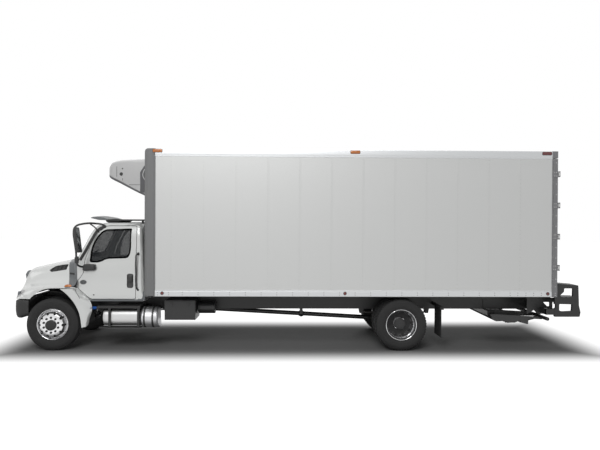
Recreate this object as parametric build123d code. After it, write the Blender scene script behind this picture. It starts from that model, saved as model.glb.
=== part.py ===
"""Refrigerated box truck: conventional cab, nose-mounted cooling unit, 26 ft insulated box.

Frame: +X runs to the rear, the driver's side is -Y, +Z is up.
The origin lies on the ground, midway between the bumper's face and the step frame's rear face.
Every length is in millimetres.  Places along the truck are given from the front axle by at().
"""
from build123d import *
import math
import os

# ---------------------------------------------------------------- driving dimensions
WHEELBASE = 6713
FRONT_OVERHANG = 760            # front axle to the bumper's face

# wheels and tyres
TYRE_R = 500
TYRE_W = 275
RIM_R = 298.5                   # flange radius
RIM_SEAT_R = 280.5
RIM_W = 230
RIM_WALL = 14
BOLT_CIRCLE_R = 142.9
BOLTS = 10
STUD_R = 11
HAND_HOLES = 10
HAND_HOLE_R = 29
HUB_R = 100
FRONT_TYRE_Y = 1035             # tyre centres
INNER_DUAL_Y = 752
OUTER_DUAL_Y = 1088
FRONT_DISC_Y = 1225             # mounting faces
REAR_DISC_Y = 942
SPINDLE_R = 35
RUN = 0.3                       # running clearance of pins, bores and seats
KINGPIN_Y = 950
KINGPIN_R = 20
STEER_ARM = 180

# springs
SPRING_Y = 392
SPRING_HALF_W = 36
SPRING_EYE_R = 26

# ladder frame
FRAME_Y = 432                   # outer face of a rail
RAIL_H = 254
RAIL_FLANGE = 80
RAIL_T = 9
FRAME_BOTTOM = 700
FRAME_FRONT = -650              # from the front axle
FRAME_SHORT = 121               # rails end this far before the box's rear
SILL_W = 70                     # box sills on the rails
TOW_EYE = (-650, 392)           # from the front axle, and from the centre line
TOW_EYE_Z = (650, 674)
TOW_EYE_R = 18
TOW_EYE_REACH = 40              # from the bore's centre to the plate's edges

# insulated box
BOX_FRONT = 1796                # from the front axle
BOX_LENGTH = 7925
BOX_HALF_W = 1293
BOX_BOTTOM = 1056
BOX_TOP = 3877
SHEET_SETBACK = 8               # side sheet behind the rails' faces
WALL_T = 95
FRONT_WALL_T = 100
ROOF_T = 90
FLOOR_TOP = 1330
FLOOR_T = 150
BOTTOM_RAIL_H = 127
TOP_RAIL_H = 147
POST_W = 190
POST_ROUND = 90
REAR_FRAME_L = 110
REAR_POST_W = 130
HEADER_H = 170
CROSS_MEMBERS = 18
CROSS_W = 60

# cargo doors
CARGO_DOOR_T = 80
CARGO_DOOR_GAP = 8              # behind the portal's posts
CARGO_RECESS = CARGO_DOOR_T + CARGO_DOOR_GAP    # the posts' rear face, ahead of the box's rear
CARGO_CENTRE_GAP = 8            # each side of the centre line
CARGO_DOOR_EDGE = BOX_HALF_W - 8            # hinge-side edge
CARGO_DOOR_BOTTOM = FLOOR_TOP - 4
CARGO_DOOR_TOP = BOX_TOP - 142
CARGO_HINGE_BACK = 20           # hinge axis behind the door's face
CARGO_HINGE_Y = BOX_HALF_W + 27
CARGO_HINGES = 4
CARGO_PIN_R = 8

# cab
CAB_BOTTOM = 965
CAB_TOP = 2467
CAB_WALL = 45
DOOR_GAP = 12
DOOR_AXIS = (446, 1016)         # from the front axle, and from the centre line
DOOR_PIN_R = 5
GLASS_INSET = 8
GLASS_T = 6

# hood
HOOD_WALL = 12
HOOD_PIVOT = (-722, 1010)       # from the front axle, and height

# cooling unit
REEFER_HALF_W = 950

# liftgate
LIFT_PIVOT_Z = 650
LIFT_TIP_Z = 615
LIFT_PIVOT_AHEAD = 1021         # of the box's rear
LIFT_TIP_AHEAD = 131
LIFT_ARM_Y = 560
LIFT_PIN_R = 20
PLATFORM_HALF_W = 880
PLATFORM_L = 930

# rear step frames
STEP_TOP = 1319
STEP_BOTTOM = 685
STEP_INNER_Y = 940
STEP_OUTER_Y = BOX_HALF_W - 5
STEP_L = 469                    # behind the box's rear

# ---------------------------------------------------------------- worked out
BOX_REAR = BOX_FRONT + BOX_LENGTH
LENGTH = FRONT_OVERHANG + BOX_REAR + STEP_L
FRONT_AXLE_X = FRONT_OVERHANG - LENGTH / 2


def at(from_front_axle):
    """X of a place given from the front axle."""
    return FRONT_AXLE_X + from_front_axle


AXLE_Z = TYRE_R
REAR_AXLE = WHEELBASE
PINION_Z = AXLE_Z - 55
FRAME_REAR = BOX_REAR - FRAME_SHORT
LIFT_PIVOT = (BOX_REAR - LIFT_PIVOT_AHEAD, LIFT_PIVOT_Z)
LIFT_TIP = (BOX_REAR - LIFT_TIP_AHEAD, LIFT_TIP_Z)
FRAME_TOP = FRAME_BOTTOM + RAIL_H
RAIL_IN = BOX_HALF_W - SHEET_SETBACK - WALL_T      # inner face of the box walls
FLOOR_BOTTOM = FLOOR_TOP - FLOOR_T
WALL_BOTTOM = BOX_BOTTOM + BOTTOM_RAIL_H
WALL_TOP = BOX_TOP - TOP_RAIL_H


# ---------------------------------------------------------------- plain shapes
def block(x, y, z):
    """Box between pairs of limits."""
    return Pos((x[0] + x[1]) / 2, (y[0] + y[1]) / 2, (z[0] + z[1]) / 2) * Box(
        x[1] - x[0], y[1] - y[0], z[1] - z[0])


def rod_along(direction, centre, radius, limits):
    """Cylinder along X, Y or Z; centre holds the two other coordinates in order."""
    length = limits[1] - limits[0]
    middle = (limits[0] + limits[1]) / 2
    bar = Cylinder(radius, length)
    if direction == "X":
        return Pos(middle, centre[0], centre[1]) * Rot(0, 90, 0) * bar
    if direction == "Y":
        return Pos(centre[0], middle, centre[1]) * Rot(90, 0, 0) * bar
    return Pos(centre[0], centre[1], middle) * bar


def bent_rod(points, radius):
    """Round bar through points, with a ball at each corner."""
    parts = []
    for start, end in zip(points, points[1:]):
        a, b = Vector(*start), Vector(*end)
        middle = (a + b) / 2
        plane = Plane(origin=middle, z_dir=(b - a))
        parts.append(plane * Cylinder(radius, (b - a).length))
    for corner in points[1:-1]:
        parts.append(Pos(*corner) * Sphere(radius))
    return join(parts)


def join(parts):
    """One shape of all the parts."""
    whole = parts[0]
    for part in parts[1:]:
        whole = whole + part
    return whole


def side_plate(points, y):
    """Outline in X and Z, carried from y[0] to y[1]."""
    face = Plane.XZ * make_face(Polyline([(px, pz) for px, pz in points], close=True))
    return Pos(0, y[0], 0) * extrude(face, amount=y[1] - y[0], dir=(0, 1, 0))


def plan_plate(points, z):
    """Outline in X and Y, carried from z[0] to z[1]."""
    face = make_face(Polyline(list(points), close=True))
    return Pos(0, 0, z[0]) * extrude(face, amount=z[1] - z[0])


def front_plate(points, x):
    """Outline in Y and Z, carried from x[0] to x[1]."""
    face = Plane.YZ * make_face(Polyline(list(points), close=True))
    return Pos(x[0], 0, 0) * extrude(face, amount=x[1] - x[0], dir=(1, 0, 0))


def turned(outline, x, z):
    """Outline of (distance along Y, radius) turned about the wheel axis at x and z."""
    face = Plane.YZ * make_face(Polyline(list(outline), close=True))
    return Pos(x, 0, z) * revolve(face, axis=Axis.Y)


def far_side(shape):
    """The same piece on the other side of the truck."""
    return mirror(shape, about=Plane.XZ)


def both_sides(shape):
    return shape + far_side(shape)


def truck_outline(points):
    """Outline given from the front axle, moved to the part's frame."""
    return [(at(px), pz) for px, pz in points]


# ---------------------------------------------------------------- wheels
def tyre_outline(centre_y):
    """Half section of a tyre: crown, shoulders, bulged sidewalls and beads."""
    half = TYRE_W / 2
    bead = RIM_SEAT_R + RUN
    rows = [  # share of half width, radius
        (0.74, bead), (0.74, RIM_R + 1), (0.87, RIM_R + 5), (1.0, (TYRE_R + RIM_R) / 2), (0.93, TYRE_R - 34),
        (0.82, TYRE_R - 8), (0.60, TYRE_R)]
    near = [(centre_y - share * half, radius) for share, radius in rows]
    far = [(centre_y + share * half, radius) for share, radius in reversed(rows)]
    return near + far


def tyre(x, centre_y):
    return turned(tyre_outline(centre_y), x, AXLE_Z)


def wheel(x, centre_y, disc_y, side):
    """Rim with its disc, hand holes and stud holes; side is -1 or +1, outwards."""
    half = RIM_W / 2
    seat = RIM_SEAT_R
    well = RIM_R - 50
    bore = well - RIM_WALL
    lip = half * side
    rim = turned([
        (centre_y + lip, RIM_R), (centre_y + lip * 0.9, RIM_R), (centre_y + lip * 0.9, seat),
        (centre_y + lip * 0.55, seat - 3), (centre_y + lip * 0.4, well),
        (centre_y - lip * 0.3, well), (centre_y - lip * 0.5, seat - 3),
        (centre_y - lip * 0.9, seat), (centre_y - lip * 0.9, RIM_R), (centre_y - lip, RIM_R),
        (centre_y - lip, seat - RIM_WALL), (centre_y - lip * 0.55, seat - RIM_WALL - 3),
        (centre_y - lip * 0.35, bore), (centre_y + lip * 0.45, bore),
        (centre_y + lip * 0.6, seat - RIM_WALL - 3), (centre_y + lip, seat - RIM_WALL)], x, AXLE_Z)
    back = disc_y - side * 22
    foot = centre_y + (lip * 0.42 if side * (disc_y - centre_y) > 0 else -lip * 0.28)
    disc = turned([
        (disc_y, HUB_R - 20), (disc_y, 186), (foot + side * 10, bore + 2), (foot - side * 14, bore + 2),
        (back, 178), (back, HUB_R - 20)], x, AXLE_Z)
    for index in range(HAND_HOLES):
        angle = math.radians(360 / HAND_HOLES * index)
        place = (x + 226 * math.cos(angle), AXLE_Z + 226 * math.sin(angle))
        disc = disc - rod_along("Y", place, HAND_HOLE_R, sorted((disc_y + side * 90, disc_y - side * 240)))
    return rim + disc


def hub(x, start_y, end_y, disc_y, side, drum_y):
    """Brake drum, hub barrel, cap and studs, bored for the spindle."""
    barrel = rod_along("Y", (x, AXLE_Z), HUB_R - 20, sorted((start_y, disc_y)))
    nose = rod_along("Y", (x, AXLE_Z), HUB_R, sorted((disc_y, end_y)))
    drum = rod_along("Y", (x, AXLE_Z), 205, sorted((drum_y[0], drum_y[1])))
    parts = [barrel, nose, drum]
    for index in range(BOLTS):
        angle = math.radians(90 + 360 / BOLTS * index)
        place = (x + BOLT_CIRCLE_R * math.cos(angle), AXLE_Z + BOLT_CIRCLE_R * math.sin(angle))
        parts.append(rod_along("Y", place, STUD_R, sorted((disc_y, disc_y + side * 32))))
    bore = rod_along("Y", (x, AXLE_Z), SPINDLE_R + RUN, sorted((start_y - side * 1, disc_y - side * 40)))
    return join(parts) - bore


def front_wheel(side):
    x = at(0)
    body = wheel(x, side * FRONT_TYRE_Y, side * FRONT_DISC_Y, side)
    middle = hub(x, side * 1010, side * (FRONT_DISC_Y + 40), side * FRONT_DISC_Y, side,
                 (side * 1010, side * 1180))
    return body + middle


def rear_wheels(side):
    x = at(REAR_AXLE)
    outer = wheel(x, side * OUTER_DUAL_Y, side * REAR_DISC_Y, side)
    inner = wheel(x, side * INNER_DUAL_Y, side * (REAR_DISC_Y - 22), -side)
    middle = hub(x, side * 668, side * 1080, side * REAR_DISC_Y, side, (side * 668, side * 880))
    return outer + inner + middle


# ---------------------------------------------------------------- axles, springs, driveline
def knuckle(side):
    """Yoke round the kingpin, spindle, brake plate and steering arm."""
    x, y = at(0), side * KINGPIN_Y
    ears = [rod_along("Z", (x, y), 44, (AXLE_Z + 60 + RUN, AXLE_Z + 110)),
            rod_along("Z", (x, y), 44, (AXLE_Z - 110, AXLE_Z - 60 - RUN))]
    web = block((x - 40, x + 40), sorted((side * 985, side * 996)), (AXLE_Z - 110, AXLE_Z + 110))
    arms = [block((x - 40, x + 40), sorted((y, side * 996)), (AXLE_Z + 60 + RUN, AXLE_Z + 110)),
            block((x - 40, x + 40), sorted((y, side * 996)), (AXLE_Z - 110, AXLE_Z - 60 - RUN))]
    spindle = rod_along("Y", (x, AXLE_Z), SPINDLE_R, sorted((side * 990, side * (FRONT_DISC_Y - 50))))
    plate = rod_along("Y", (x, AXLE_Z), 195, sorted((side * 992, side * 1004)))
    steer = block((x, x + STEER_ARM), (y - 22, y + 22), (AXLE_Z - 96, AXLE_Z - 70))
    eye = rod_along("Z", (x + STEER_ARM, y), 28, (AXLE_Z - 96, AXLE_Z - 70))
    ball = rod_along("Z", (x + STEER_ARM, y), 10, (AXLE_Z - 150, AXLE_Z - 70))
    whole = join(ears + arms + [web, spindle, plate, steer, eye, ball])
    return whole - rod_along("Z", (x, y), KINGPIN_R + RUN, (AXLE_Z - 200, AXLE_Z + 200))


def tie_rod():
    x = at(STEER_ARM)
    bar_y = KINGPIN_Y - 40
    bar = rod_along("Y", (x, AXLE_Z - 122), 16, (-bar_y, bar_y))
    ends = [rod_along("Z", (x, side * KINGPIN_Y), 24, (AXLE_Z - 138, AXLE_Z - 104)) for side in (-1, 1)]
    necks = [block((x - 14, x + 14), sorted((side * bar_y, side * (KINGPIN_Y - 10))),
                   (AXLE_Z - 136, AXLE_Z - 108))
             for side in (-1, 1)]
    sockets = [rod_along("Z", (x, side * KINGPIN_Y), 10 + RUN, (AXLE_Z - 160, AXLE_Z - 60)) for side in (-1,
                                                                                                         1)]
    whole = join([bar] + ends + necks)
    for socket in sockets:
        whole = whole - socket
    return whole


def front_axle():
    """Dropped beam with a kingpin at each end and a spring pad each side."""
    x = at(0)
    half = [(0, 400), (620, 400), (800, 440), (KINGPIN_Y, 440), (KINGPIN_Y, 560), (790, 560),
            (600, 480), (0, 480)]
    outline = half + [(-py, pz) for py, pz in reversed(half[1:-1])]
    beam = front_plate(outline, (x - 45, x + 45))
    for side in (-1, 1):
        beam = beam + rod_along("Z", (x, side * KINGPIN_Y), 34, (AXLE_Z - 60, AXLE_Z + 60))
        beam = beam + rod_along("Z", (x, side * KINGPIN_Y), KINGPIN_R, (AXLE_Z - 110, AXLE_Z + 110))
        beam = beam + block((x - 90, x + 90), sorted((side * 352, side * 432)), (470, 492))
    return beam


def rear_axle():
    """Banjo housing with its tubes, spindles and spring seats."""
    x = at(REAR_AXLE)
    bowl = Pos(x, 0, AXLE_Z) * Sphere(210)
    tubes = rod_along("Y", (x, AXLE_Z), 75, (-650, 650))
    spindle = rod_along("Y", (x, AXLE_Z), SPINDLE_R, (-860, 860))
    nose = rod_along("X", (0, PINION_Z), 80, (x - 330, x))
    whole = bowl + tubes + spindle + nose
    for side in (-1, 1):
        whole = whole + block((x - 100, x + 100), sorted((side * 352, side * 432)), (AXLE_Z, 592))
    return whole


def spring_pack(axle, seat_z, reach, leaves, eye_z):
    """Stack of bent leaves on the axle seat, with an eye at each end (front axle distances)."""
    leaf_t = 16
    outline_top, outline_bottom = [], []
    rise = eye_z - seat_z
    for share in (-1.0, -0.66, -0.33, 0.0, 0.33, 0.66, 1.0):
        sag = seat_z + rise * share * share
        outline_bottom.append((axle + reach * share, sag))
        outline_top.append((axle + reach * share, sag + leaf_t * (1 + (leaves - 1) * (1 - abs(share)))))
    outline = truck_outline(outline_bottom + outline_top[::-1])
    y = (-SPRING_HALF_W, SPRING_HALF_W)
    pack = side_plate(outline, y)
    for share in (-1, 1):
        eye = (at(axle + reach * share), eye_z + SPRING_EYE_R - 12)
        pack = pack + rod_along("Y", eye, SPRING_EYE_R, y)
    return pack


def hanger(place, eye_z, y):
    """Clevis under a rail that takes a spring eye."""
    outline = [(place - 50, FRAME_BOTTOM), (place - 34, eye_z - 12), (place + 34, eye_z - 12),
               (place + 50, FRAME_BOTTOM)]
    cheek = SPRING_HALF_W + RUN
    whole = side_plate(truck_outline(outline), (y - cheek - 8, y + cheek + 8))
    slot = block((at(place - 60), at(place + 60)), (y - cheek, y + cheek),
                 (eye_z - 20, eye_z + SPRING_EYE_R * 2 - 6))
    return whole - slot


SPRINGS = [  # axle place, seat height, half length, leaves, eye height
    (0, 492, 560, 3, 592), (WHEELBASE, 592, 680, 4, 622)]


def leaf_springs():
    packs = []
    for axle, seat_z, reach, leaves, eye_z in SPRINGS:
        for side in (-1, 1):
            packs.append(Pos(0, side * SPRING_Y, 0) * spring_pack(axle, seat_z, reach, leaves, eye_z))
    return join(packs)


def driveline():
    """Transmission output to rear axle: three shafts, joints and centre bearings."""
    rear = WHEELBASE - 330
    stations = [(1154, 740), (2900, 640), (4800, 535), (rear - 6, PINION_Z)]
    parts = []
    for (xa, za), (xb, zb) in zip(stations, stations[1:]):
        parts.append(bent_rod([(at(xa), 0, za), (at(xb), 0, zb)], 45))
    for place, height in stations[1:3]:
        parts.append(Pos(at(place), 0, height) * Sphere(70))
        parts.append(block((at(place - 30), at(place + 30)), (-90, 90), (height, FRAME_BOTTOM + 60)))
        parts.append(block((at(place - 30), at(place + 30)), (-FRAME_Y + RAIL_T, FRAME_Y - RAIL_T),
                           (FRAME_BOTTOM + 40, FRAME_BOTTOM + 90)))
    parts.append(rod_along("X", (0, PINION_Z), 62, (at(rear - 60), at(rear))))
    return join(parts)


def engine():
    """Plain engine block, gearbox block and mounting feet between the rails."""
    motor = block((at(-400), at(330)), (-300, 300), (740, 1380))
    gearbox = block((at(330), at(1150)), (-190, 190), (640, 900))
    inner = FRAME_Y - RAIL_T
    feet = block((at(-60), at(40)), (-inner, inner), (800, 850))
    return motor + gearbox + feet


# ---------------------------------------------------------------- ladder frame
CROSS_PLACES = [-560, 1500, 3400, 5600, 7600, FRAME_REAR - 300]
CROSS_Z = (FRAME_BOTTOM + 130, FRAME_BOTTOM + 210)
CAB_PAD_PLACES = (560, 1560)


def tow_eye():
    """Level plate under a rail's front end, bored upright for a shackle's pin."""
    x, y = at(TOW_EYE[0]), -TOW_EYE[1]
    span = (y - TOW_EYE_REACH, y + TOW_EYE_REACH)
    plate = block((x - TOW_EYE_REACH, x + TOW_EYE_REACH), span, TOW_EYE_Z)
    web = block((x + TOW_EYE_R + 4, x + TOW_EYE_REACH), span, (TOW_EYE_Z[0], FRAME_BOTTOM + RAIL_T))
    return plate + web - rod_along("Z", (x, y), TOW_EYE_R, (TOW_EYE_Z[0] - 1, TOW_EYE_Z[1] + 1))


def frame_rails():
    """Two channel rails with spring hangers, tow eyes, cab pads and the sills under the box."""
    x = (at(FRAME_FRONT), at(FRAME_REAR))
    rail = block(x, (-FRAME_Y, -FRAME_Y + RAIL_FLANGE), (FRAME_BOTTOM, FRAME_TOP))
    rail = rail - block((x[0] - 1, x[1] + 1), (-FRAME_Y + RAIL_T, -FRAME_Y + RAIL_FLANGE + 1),
                        (FRAME_BOTTOM + RAIL_T, FRAME_TOP - RAIL_T))
    for axle, seat_z, reach, leaves, eye_z in SPRINGS:
        for end in (-1, 1):
            rail = rail + hanger(axle + end * reach, eye_z, -SPRING_Y)
    for place in CAB_PAD_PLACES:
        rail = rail + block((at(place - 60), at(place + 60)), (-FRAME_Y, -FRAME_Y + RAIL_FLANGE),
                            (FRAME_TOP, CAB_BOTTOM))
    sill = block((at(BOX_FRONT + 40), at(BOX_REAR - 130)), (-FRAME_Y, -FRAME_Y + SILL_W),
                 (FRAME_TOP, BOX_BOTTOM))
    return both_sides(rail + tow_eye() + sill)


def frame_cross_members():
    """Box-section members that meet the rails' webs."""
    inner = FRAME_Y - RAIL_T
    return join([block((at(place - 40), at(place + 40)), (-inner, inner), CROSS_Z) for place in CROSS_PLACES])


# ---------------------------------------------------------------- bumper
BUMPER_TOP = 962
BUMPER_BOTTOM = 617
BUMPER_T = 60
BUMPER_PLAN = [  # from the front axle, half width
    (-760, 300), (-752, 760), (-724, 980), (-672, 1090), (-570, 1165)]


def front_bumper():
    """Bent channel with its ends swept back, on two arms from the rails."""
    outer = [(at(px), -py) for px, py in reversed(BUMPER_PLAN)] + [(at(px), py) for px, py in BUMPER_PLAN]
    inner = [(at(px + BUMPER_T), -(py - 22)) for px, py in reversed(BUMPER_PLAN[:-1])]
    inner += [(at(px + BUMPER_T), py - 22) for px, py in BUMPER_PLAN[:-1]]
    ends = [(at(BUMPER_PLAN[-1][0]), BUMPER_PLAN[-1][1] - 45)]
    loop = outer + ends + inner[::-1] + [(ends[0][0], -ends[0][1])]
    face = plan_plate(loop, (BUMPER_BOTTOM, BUMPER_TOP))
    arm = block((at(-700), at(FRAME_FRONT)), (-FRAME_Y, -FRAME_Y + RAIL_FLANGE),
                (FRAME_BOTTOM + 20, FRAME_TOP - 60))
    return face + both_sides(arm)


# ---------------------------------------------------------------- hood
HOOD_SECTIONS = [
    # place, crown z, top w, top z, shoulder w, shoulder z, waist w, waist z, fender w, fender z
    (-757, 1225, 430, 1215, 560, 1190, 720, 1140, 1000, 1085),
    (-735, 1420, 470, 1400, 590, 1360, 780, 1190, 1060, 1120),
    (-670, 1505, 500, 1490, 640, 1440, 830, 1230, 1110, 1165),
    (-440, 1590, 540, 1570, 700, 1515, 890, 1270, 1185, 1205),
    (0, 1690, 610, 1665, 800, 1600, 960, 1310, 1190, 1235),
    (460, 1770, 680, 1745, 880, 1680, 1010, 1330, 1190, 1245)]
HOOD_BOTTOM = 985
HOOD_REAR = 235
FENDER_REAR = 440
ARCH_TOP = 1194
ARCH_LINE = [(-439, 900), (-439, 989), (-350, 1062), (-260, 1129), (-170, 1175), (-71, ARCH_TOP),
             (470, ARCH_TOP), (470, 900)]
HINGE_PLATE_Y = (FRAME_Y, FRAME_Y + 12)
HOOD_PIN_R = 10
GRILLE = [(-430, 1075), (430, 1075), (395, 1340), (-395, 1340)]
WIDE = 1400                     # beyond both sides of the cab and hood


def hood_form(inset):
    """Loft of half sections mirrored across the truck; inset moves the skin inwards."""
    faces = []
    for place, crown_z, top_w, top_z, sh_w, sh_z, waist_w, waist_z, fender_w, fender_z in HOOD_SECTIONS:
        half = [(top_w, top_z), (sh_w, sh_z), (waist_w, waist_z), (fender_w - 40, fender_z)]
        half = [(py - inset, pz - inset) for py, pz in half]
        half += [(fender_w - inset, fender_z - 45 - inset), (fender_w - inset, HOOD_BOTTOM - inset)]
        loop = half + [(-py, pz) for py, pz in reversed(half)] + [(0, crown_z - inset)]
        faces.append(Pos(at(place), 0, 0) * (Plane.YZ * make_face(Polyline(loop, close=True))))
    return loft(faces, ruled=True)


def hood_rear_cut():
    """What lies behind the hood's rear edge, where the cowl panels and the cab stand."""
    edge = [(FENDER_REAR, 900), (FENDER_REAR, 1215), (HOOD_REAR + 60, 1240), (HOOD_REAR, 1310),
            (HOOD_REAR, 1900),
            (600, 1900), (600, 900)]
    return side_plate(truck_outline(edge), (-WIDE, WIDE))


def hood_shell():
    """Tilting hood with its front fenders: open below, behind and at the grille."""
    shell = hood_form(0) - Pos(HOOD_WALL, 0, 0) * hood_form(HOOD_WALL)
    shell = shell - side_plate(truck_outline(ARCH_LINE), (-WIDE, WIDE)) - hood_rear_cut()
    shell = shell - front_plate(GRILLE, (at(-900), at(-690)))
    pivot_x, pivot_z = HOOD_PIVOT
    for side in (-1, 1):
        ear_y = sorted((side * (HINGE_PLATE_Y[0] - 32), side * (HINGE_PLATE_Y[0] - 4)))
        shell = shell + block((at(pivot_x - 26), at(pivot_x + 60)), ear_y, (HOOD_BOTTOM + 4, 1062))
        slot_y = sorted((side * (HINGE_PLATE_Y[0] - 5), side * (HINGE_PLATE_Y[1] + 5)))
        shell = shell - block((at(-800), at(-690)), slot_y, (900, 1042))
    return shell - rod_along("Y", (at(pivot_x), pivot_z), HOOD_PIN_R + RUN, (-500, 500))


def hood_grille():
    """Grille of bars in the hood's nose, set in the shell's opening."""
    frame = front_plate([(py * 0.999, pz) for py, pz in GRILLE], (at(-752), at(-722)))
    hole = front_plate([(py * 0.94, pz + (18 if pz < 1200 else -18)) for py, pz in GRILLE],
                       (at(-800), at(-700)))
    bars = [block((at(-748), at(-726)), (-430, 430), (pz - 7, pz + 7)) for pz in range(1125, 1330, 48)]
    return (frame - hole) + (join(bars) & front_plate(GRILLE, (at(-752), at(-722))))


def hood_lamps():
    """Headlamps in the nose corners and the round side lamps above the arches."""
    box = side_plate(truck_outline([(-800, 992), (-610, 992), (-535, 1160), (-700, 1160), (-800, 1030)]),
                     (-1300, -700))
    lens = (hood_form(-3) - hood_form(0)) & box
    dome = Pos(at(297), -1140, ARCH_TOP + 52) * Sphere(42) - hood_form(0)
    return both_sides(lens) + both_sides(dome)


def hood_hinge_plates():
    """Fixed plates from the frame horns to the hood's pins, over the bumper's top edge."""
    pivot_x, pivot_z = HOOD_PIVOT
    outline = [(pivot_x - 18, BUMPER_TOP + 6), (pivot_x - 18, 1030), (-690, 1030), (FRAME_FRONT + 20, 930),
               (FRAME_FRONT + 20, 860), (-690, 860), (-690, BUMPER_TOP + 6)]
    plate = side_plate(truck_outline(outline), (-HINGE_PLATE_Y[1], -HINGE_PLATE_Y[0]))
    pin = rod_along("Y", (at(pivot_x), pivot_z), HOOD_PIN_R, (-HINGE_PLATE_Y[1], 36 - HINGE_PLATE_Y[0]))
    return both_sides(plate + pin)


# ---------------------------------------------------------------- cab
CAB_SECTIONS = [
    # height, front at centre, front at side, rear, half width at front, half width at rear
    (965, 365, 380, 1700, 1015, 1030),
    (1300, 350, 375, 1695, 1035, 1040),
    (1680, 265, 345, 1685, 960, 1020),
    (2340, 600, 690, 1640, 880, 945),
    (2430, 680, 780, 1590, 820, 880),
    (CAB_TOP, 860, 930, 1500, 660, 700)]
DOOR = [(674, 976), (1548, 976), (1548, 2395), (905, 2395), (838, 2350), (548, 1700), (545, 1480),
        (433, 1315), (442, 1189)]
SIDE_WINDOW = [(650, 1688), (842, 1684), (970, 1755), (1378, 1768), (1432, 1850), (1446, 2340), (905, 2320),
               (770, 2178), (665, 1900)]
WINDSHIELD = [(-800, 1775), (800, 1775), (740, 2330), (-740, 2330)]
REAR_WINDOW = [(-560, 1790), (560, 1790), (560, 2200), (-560, 2200)]
DOOR_EAR_Z = (1225, 1285)
DOOR_SIDES = (700, 1200)        # from inside the cab to beyond its side
CAB_FLOOR_HALF_W = 968
DOOR_RELIEF_R = 30              # round the hinge axis
DOOR_RELIEF_Z = (1150, 1380)


def cab_form(inset):
    """Loft of level sections, each with a bowed front; inset moves the skin inwards."""
    faces = []
    for index, (z, front_c, front_s, rear, front_w, rear_w) in enumerate(CAB_SECTIONS):
        level = z + (inset if index == 0 else 0) - (inset if index == len(CAB_SECTIONS) - 1 else 0)
        centre_x, side_x, rear_x = at(front_c + inset), at(front_s + inset), at(rear - inset)
        fw, rw = front_w - inset, rear_w - inset
        bow = (centre_x + (side_x - centre_x) * 0.22, fw * 0.55)
        loop = [(side_x, -fw), (bow[0], -bow[1]), (centre_x, 0), bow, (side_x, fw), (rear_x - 60, rw),
                (rear_x, rw - 70), (rear_x, -rw + 70), (rear_x - 60, -rw)]
        faces.append(Pos(0, 0, level) * make_face(Polyline(loop, close=True)))
    return loft(faces, ruled=True)


def cab_skin(outer, inner):
    return cab_form(outer) - cab_form(inner)


def side_prism(points, side, amount=0.0):
    """Outline in X and Z grown by amount, carried through one side of the cab."""
    face = make_face(Polyline(truck_outline(points), close=True))
    if amount:
        face = offset(face, amount=amount, kind=Kind.INTERSECTION)
    y = sorted((side * DOOR_SIDES[0], side * DOOR_SIDES[1]))
    return Pos(0, y[0], 0) * extrude(Plane.XZ * face, amount=y[1] - y[0], dir=(0, 1, 0))


def door_axis(side):
    return at(DOOR_AXIS[0]), side * DOOR_AXIS[1]


def door_prism(side, gap=0.0):
    """Doorway through the cab's side, grown by gap, which leaves the floor between the doors whole."""
    floor = block((at(DOOR[0][0] - 200), at(DOOR[1][0] + 100)),
                  sorted((side * (DOOR_SIDES[0] - 10), side * (CAB_FLOOR_HALF_W - gap))),
                  (CAB_BOTTOM - 50, CAB_BOTTOM + CAB_WALL))
    return side_prism(DOOR, side, gap) - floor


def cab_shell():
    """Hollow cab: floor, firewall, pillars and roof, with its doorways and windows open."""
    shell = cab_form(0) - cab_form(CAB_WALL)
    shell = shell - front_plate(WINDSHIELD, (at(100), at(1000)))
    shell = shell - front_plate(REAR_WINDOW, (at(1500), at(1800)))
    parts = [shell]
    for side in (-1, 1):
        x, y = door_axis(side)
        parts[0] = parts[0] - door_prism(side, DOOR_GAP) - rod_along("Z", (x, y), DOOR_RELIEF_R,
                                                                     DOOR_RELIEF_Z)
        for z in DOOR_EAR_Z:
            parts.append(block((x - 40, x + 8), (y - 8, y + 8), (z - 12, z + 12)))
            parts.append(rod_along("Z", (x, y), 8, (z - 12, z + 12)))
            parts.append(rod_along("Z", (x, y), DOOR_PIN_R, (z - 26, z + 26)))
    return join(parts)


def cab_windows():
    """Windshield and rear window panes, seated in their openings."""
    panes = cab_skin(GLASS_INSET, GLASS_INSET + GLASS_T)
    front = panes & front_plate(WINDSHIELD, (at(100), at(1000)))
    rear = panes & front_plate(REAR_WINDOW, (at(1500), at(1800)))
    return front + rear


def door(side):
    """Door with its frame round the window, bored for the hinge pins, with handle and grab bar."""
    leaf = cab_skin(0, CAB_WALL) & door_prism(side)
    leaf = leaf - side_prism(SIDE_WINDOW, side)
    x, y = door_axis(side)
    for z in DOOR_EAR_Z:
        leaf = leaf - rod_along("Z", (x, y), 26, (z - 13, z + 13))
    return leaf - rod_along("Z", (x, y), DOOR_PIN_R + RUN, (DOOR_EAR_Z[0] - 27, DOOR_EAR_Z[-1] + 27))


def door_glass(side):
    return cab_skin(GLASS_INSET, GLASS_INSET + GLASS_T) & side_prism(SIDE_WINDOW, side)


MIRROR_ARM = [  # place, distance out, height: door's top corner, round the head, to the belt
    (900, 870, 2350), (700, 1080, 2440), (480, 1250, 2345), (470, 1250, 2130), (495, 1235, 1740),
    (500, 1150, 1625), (600, 950, 1600)]


def door_mirror(side):
    """Mirror head on its bent arm, the lower knuckle and the pod on the door."""
    arm = bent_rod([(at(px), side * py, pz) for px, py, pz in MIRROR_ARM], 13)
    head = block((at(480), at(548)), sorted((side * 1235, side * 1435)), (1830, 2310))
    head = fillet(head.edges(), 22)
    pod = block((at(526), at(790)), sorted((side * 950, side * 1110)), (1512, 1656))
    pod = fillet(pod.edges(), 25)
    clamp = block((at(470), at(520)), sorted((side * 1205, side * 1290)), (1700, 1800))
    return (join([arm, head, pod, clamp]) - cab_form(0))


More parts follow.
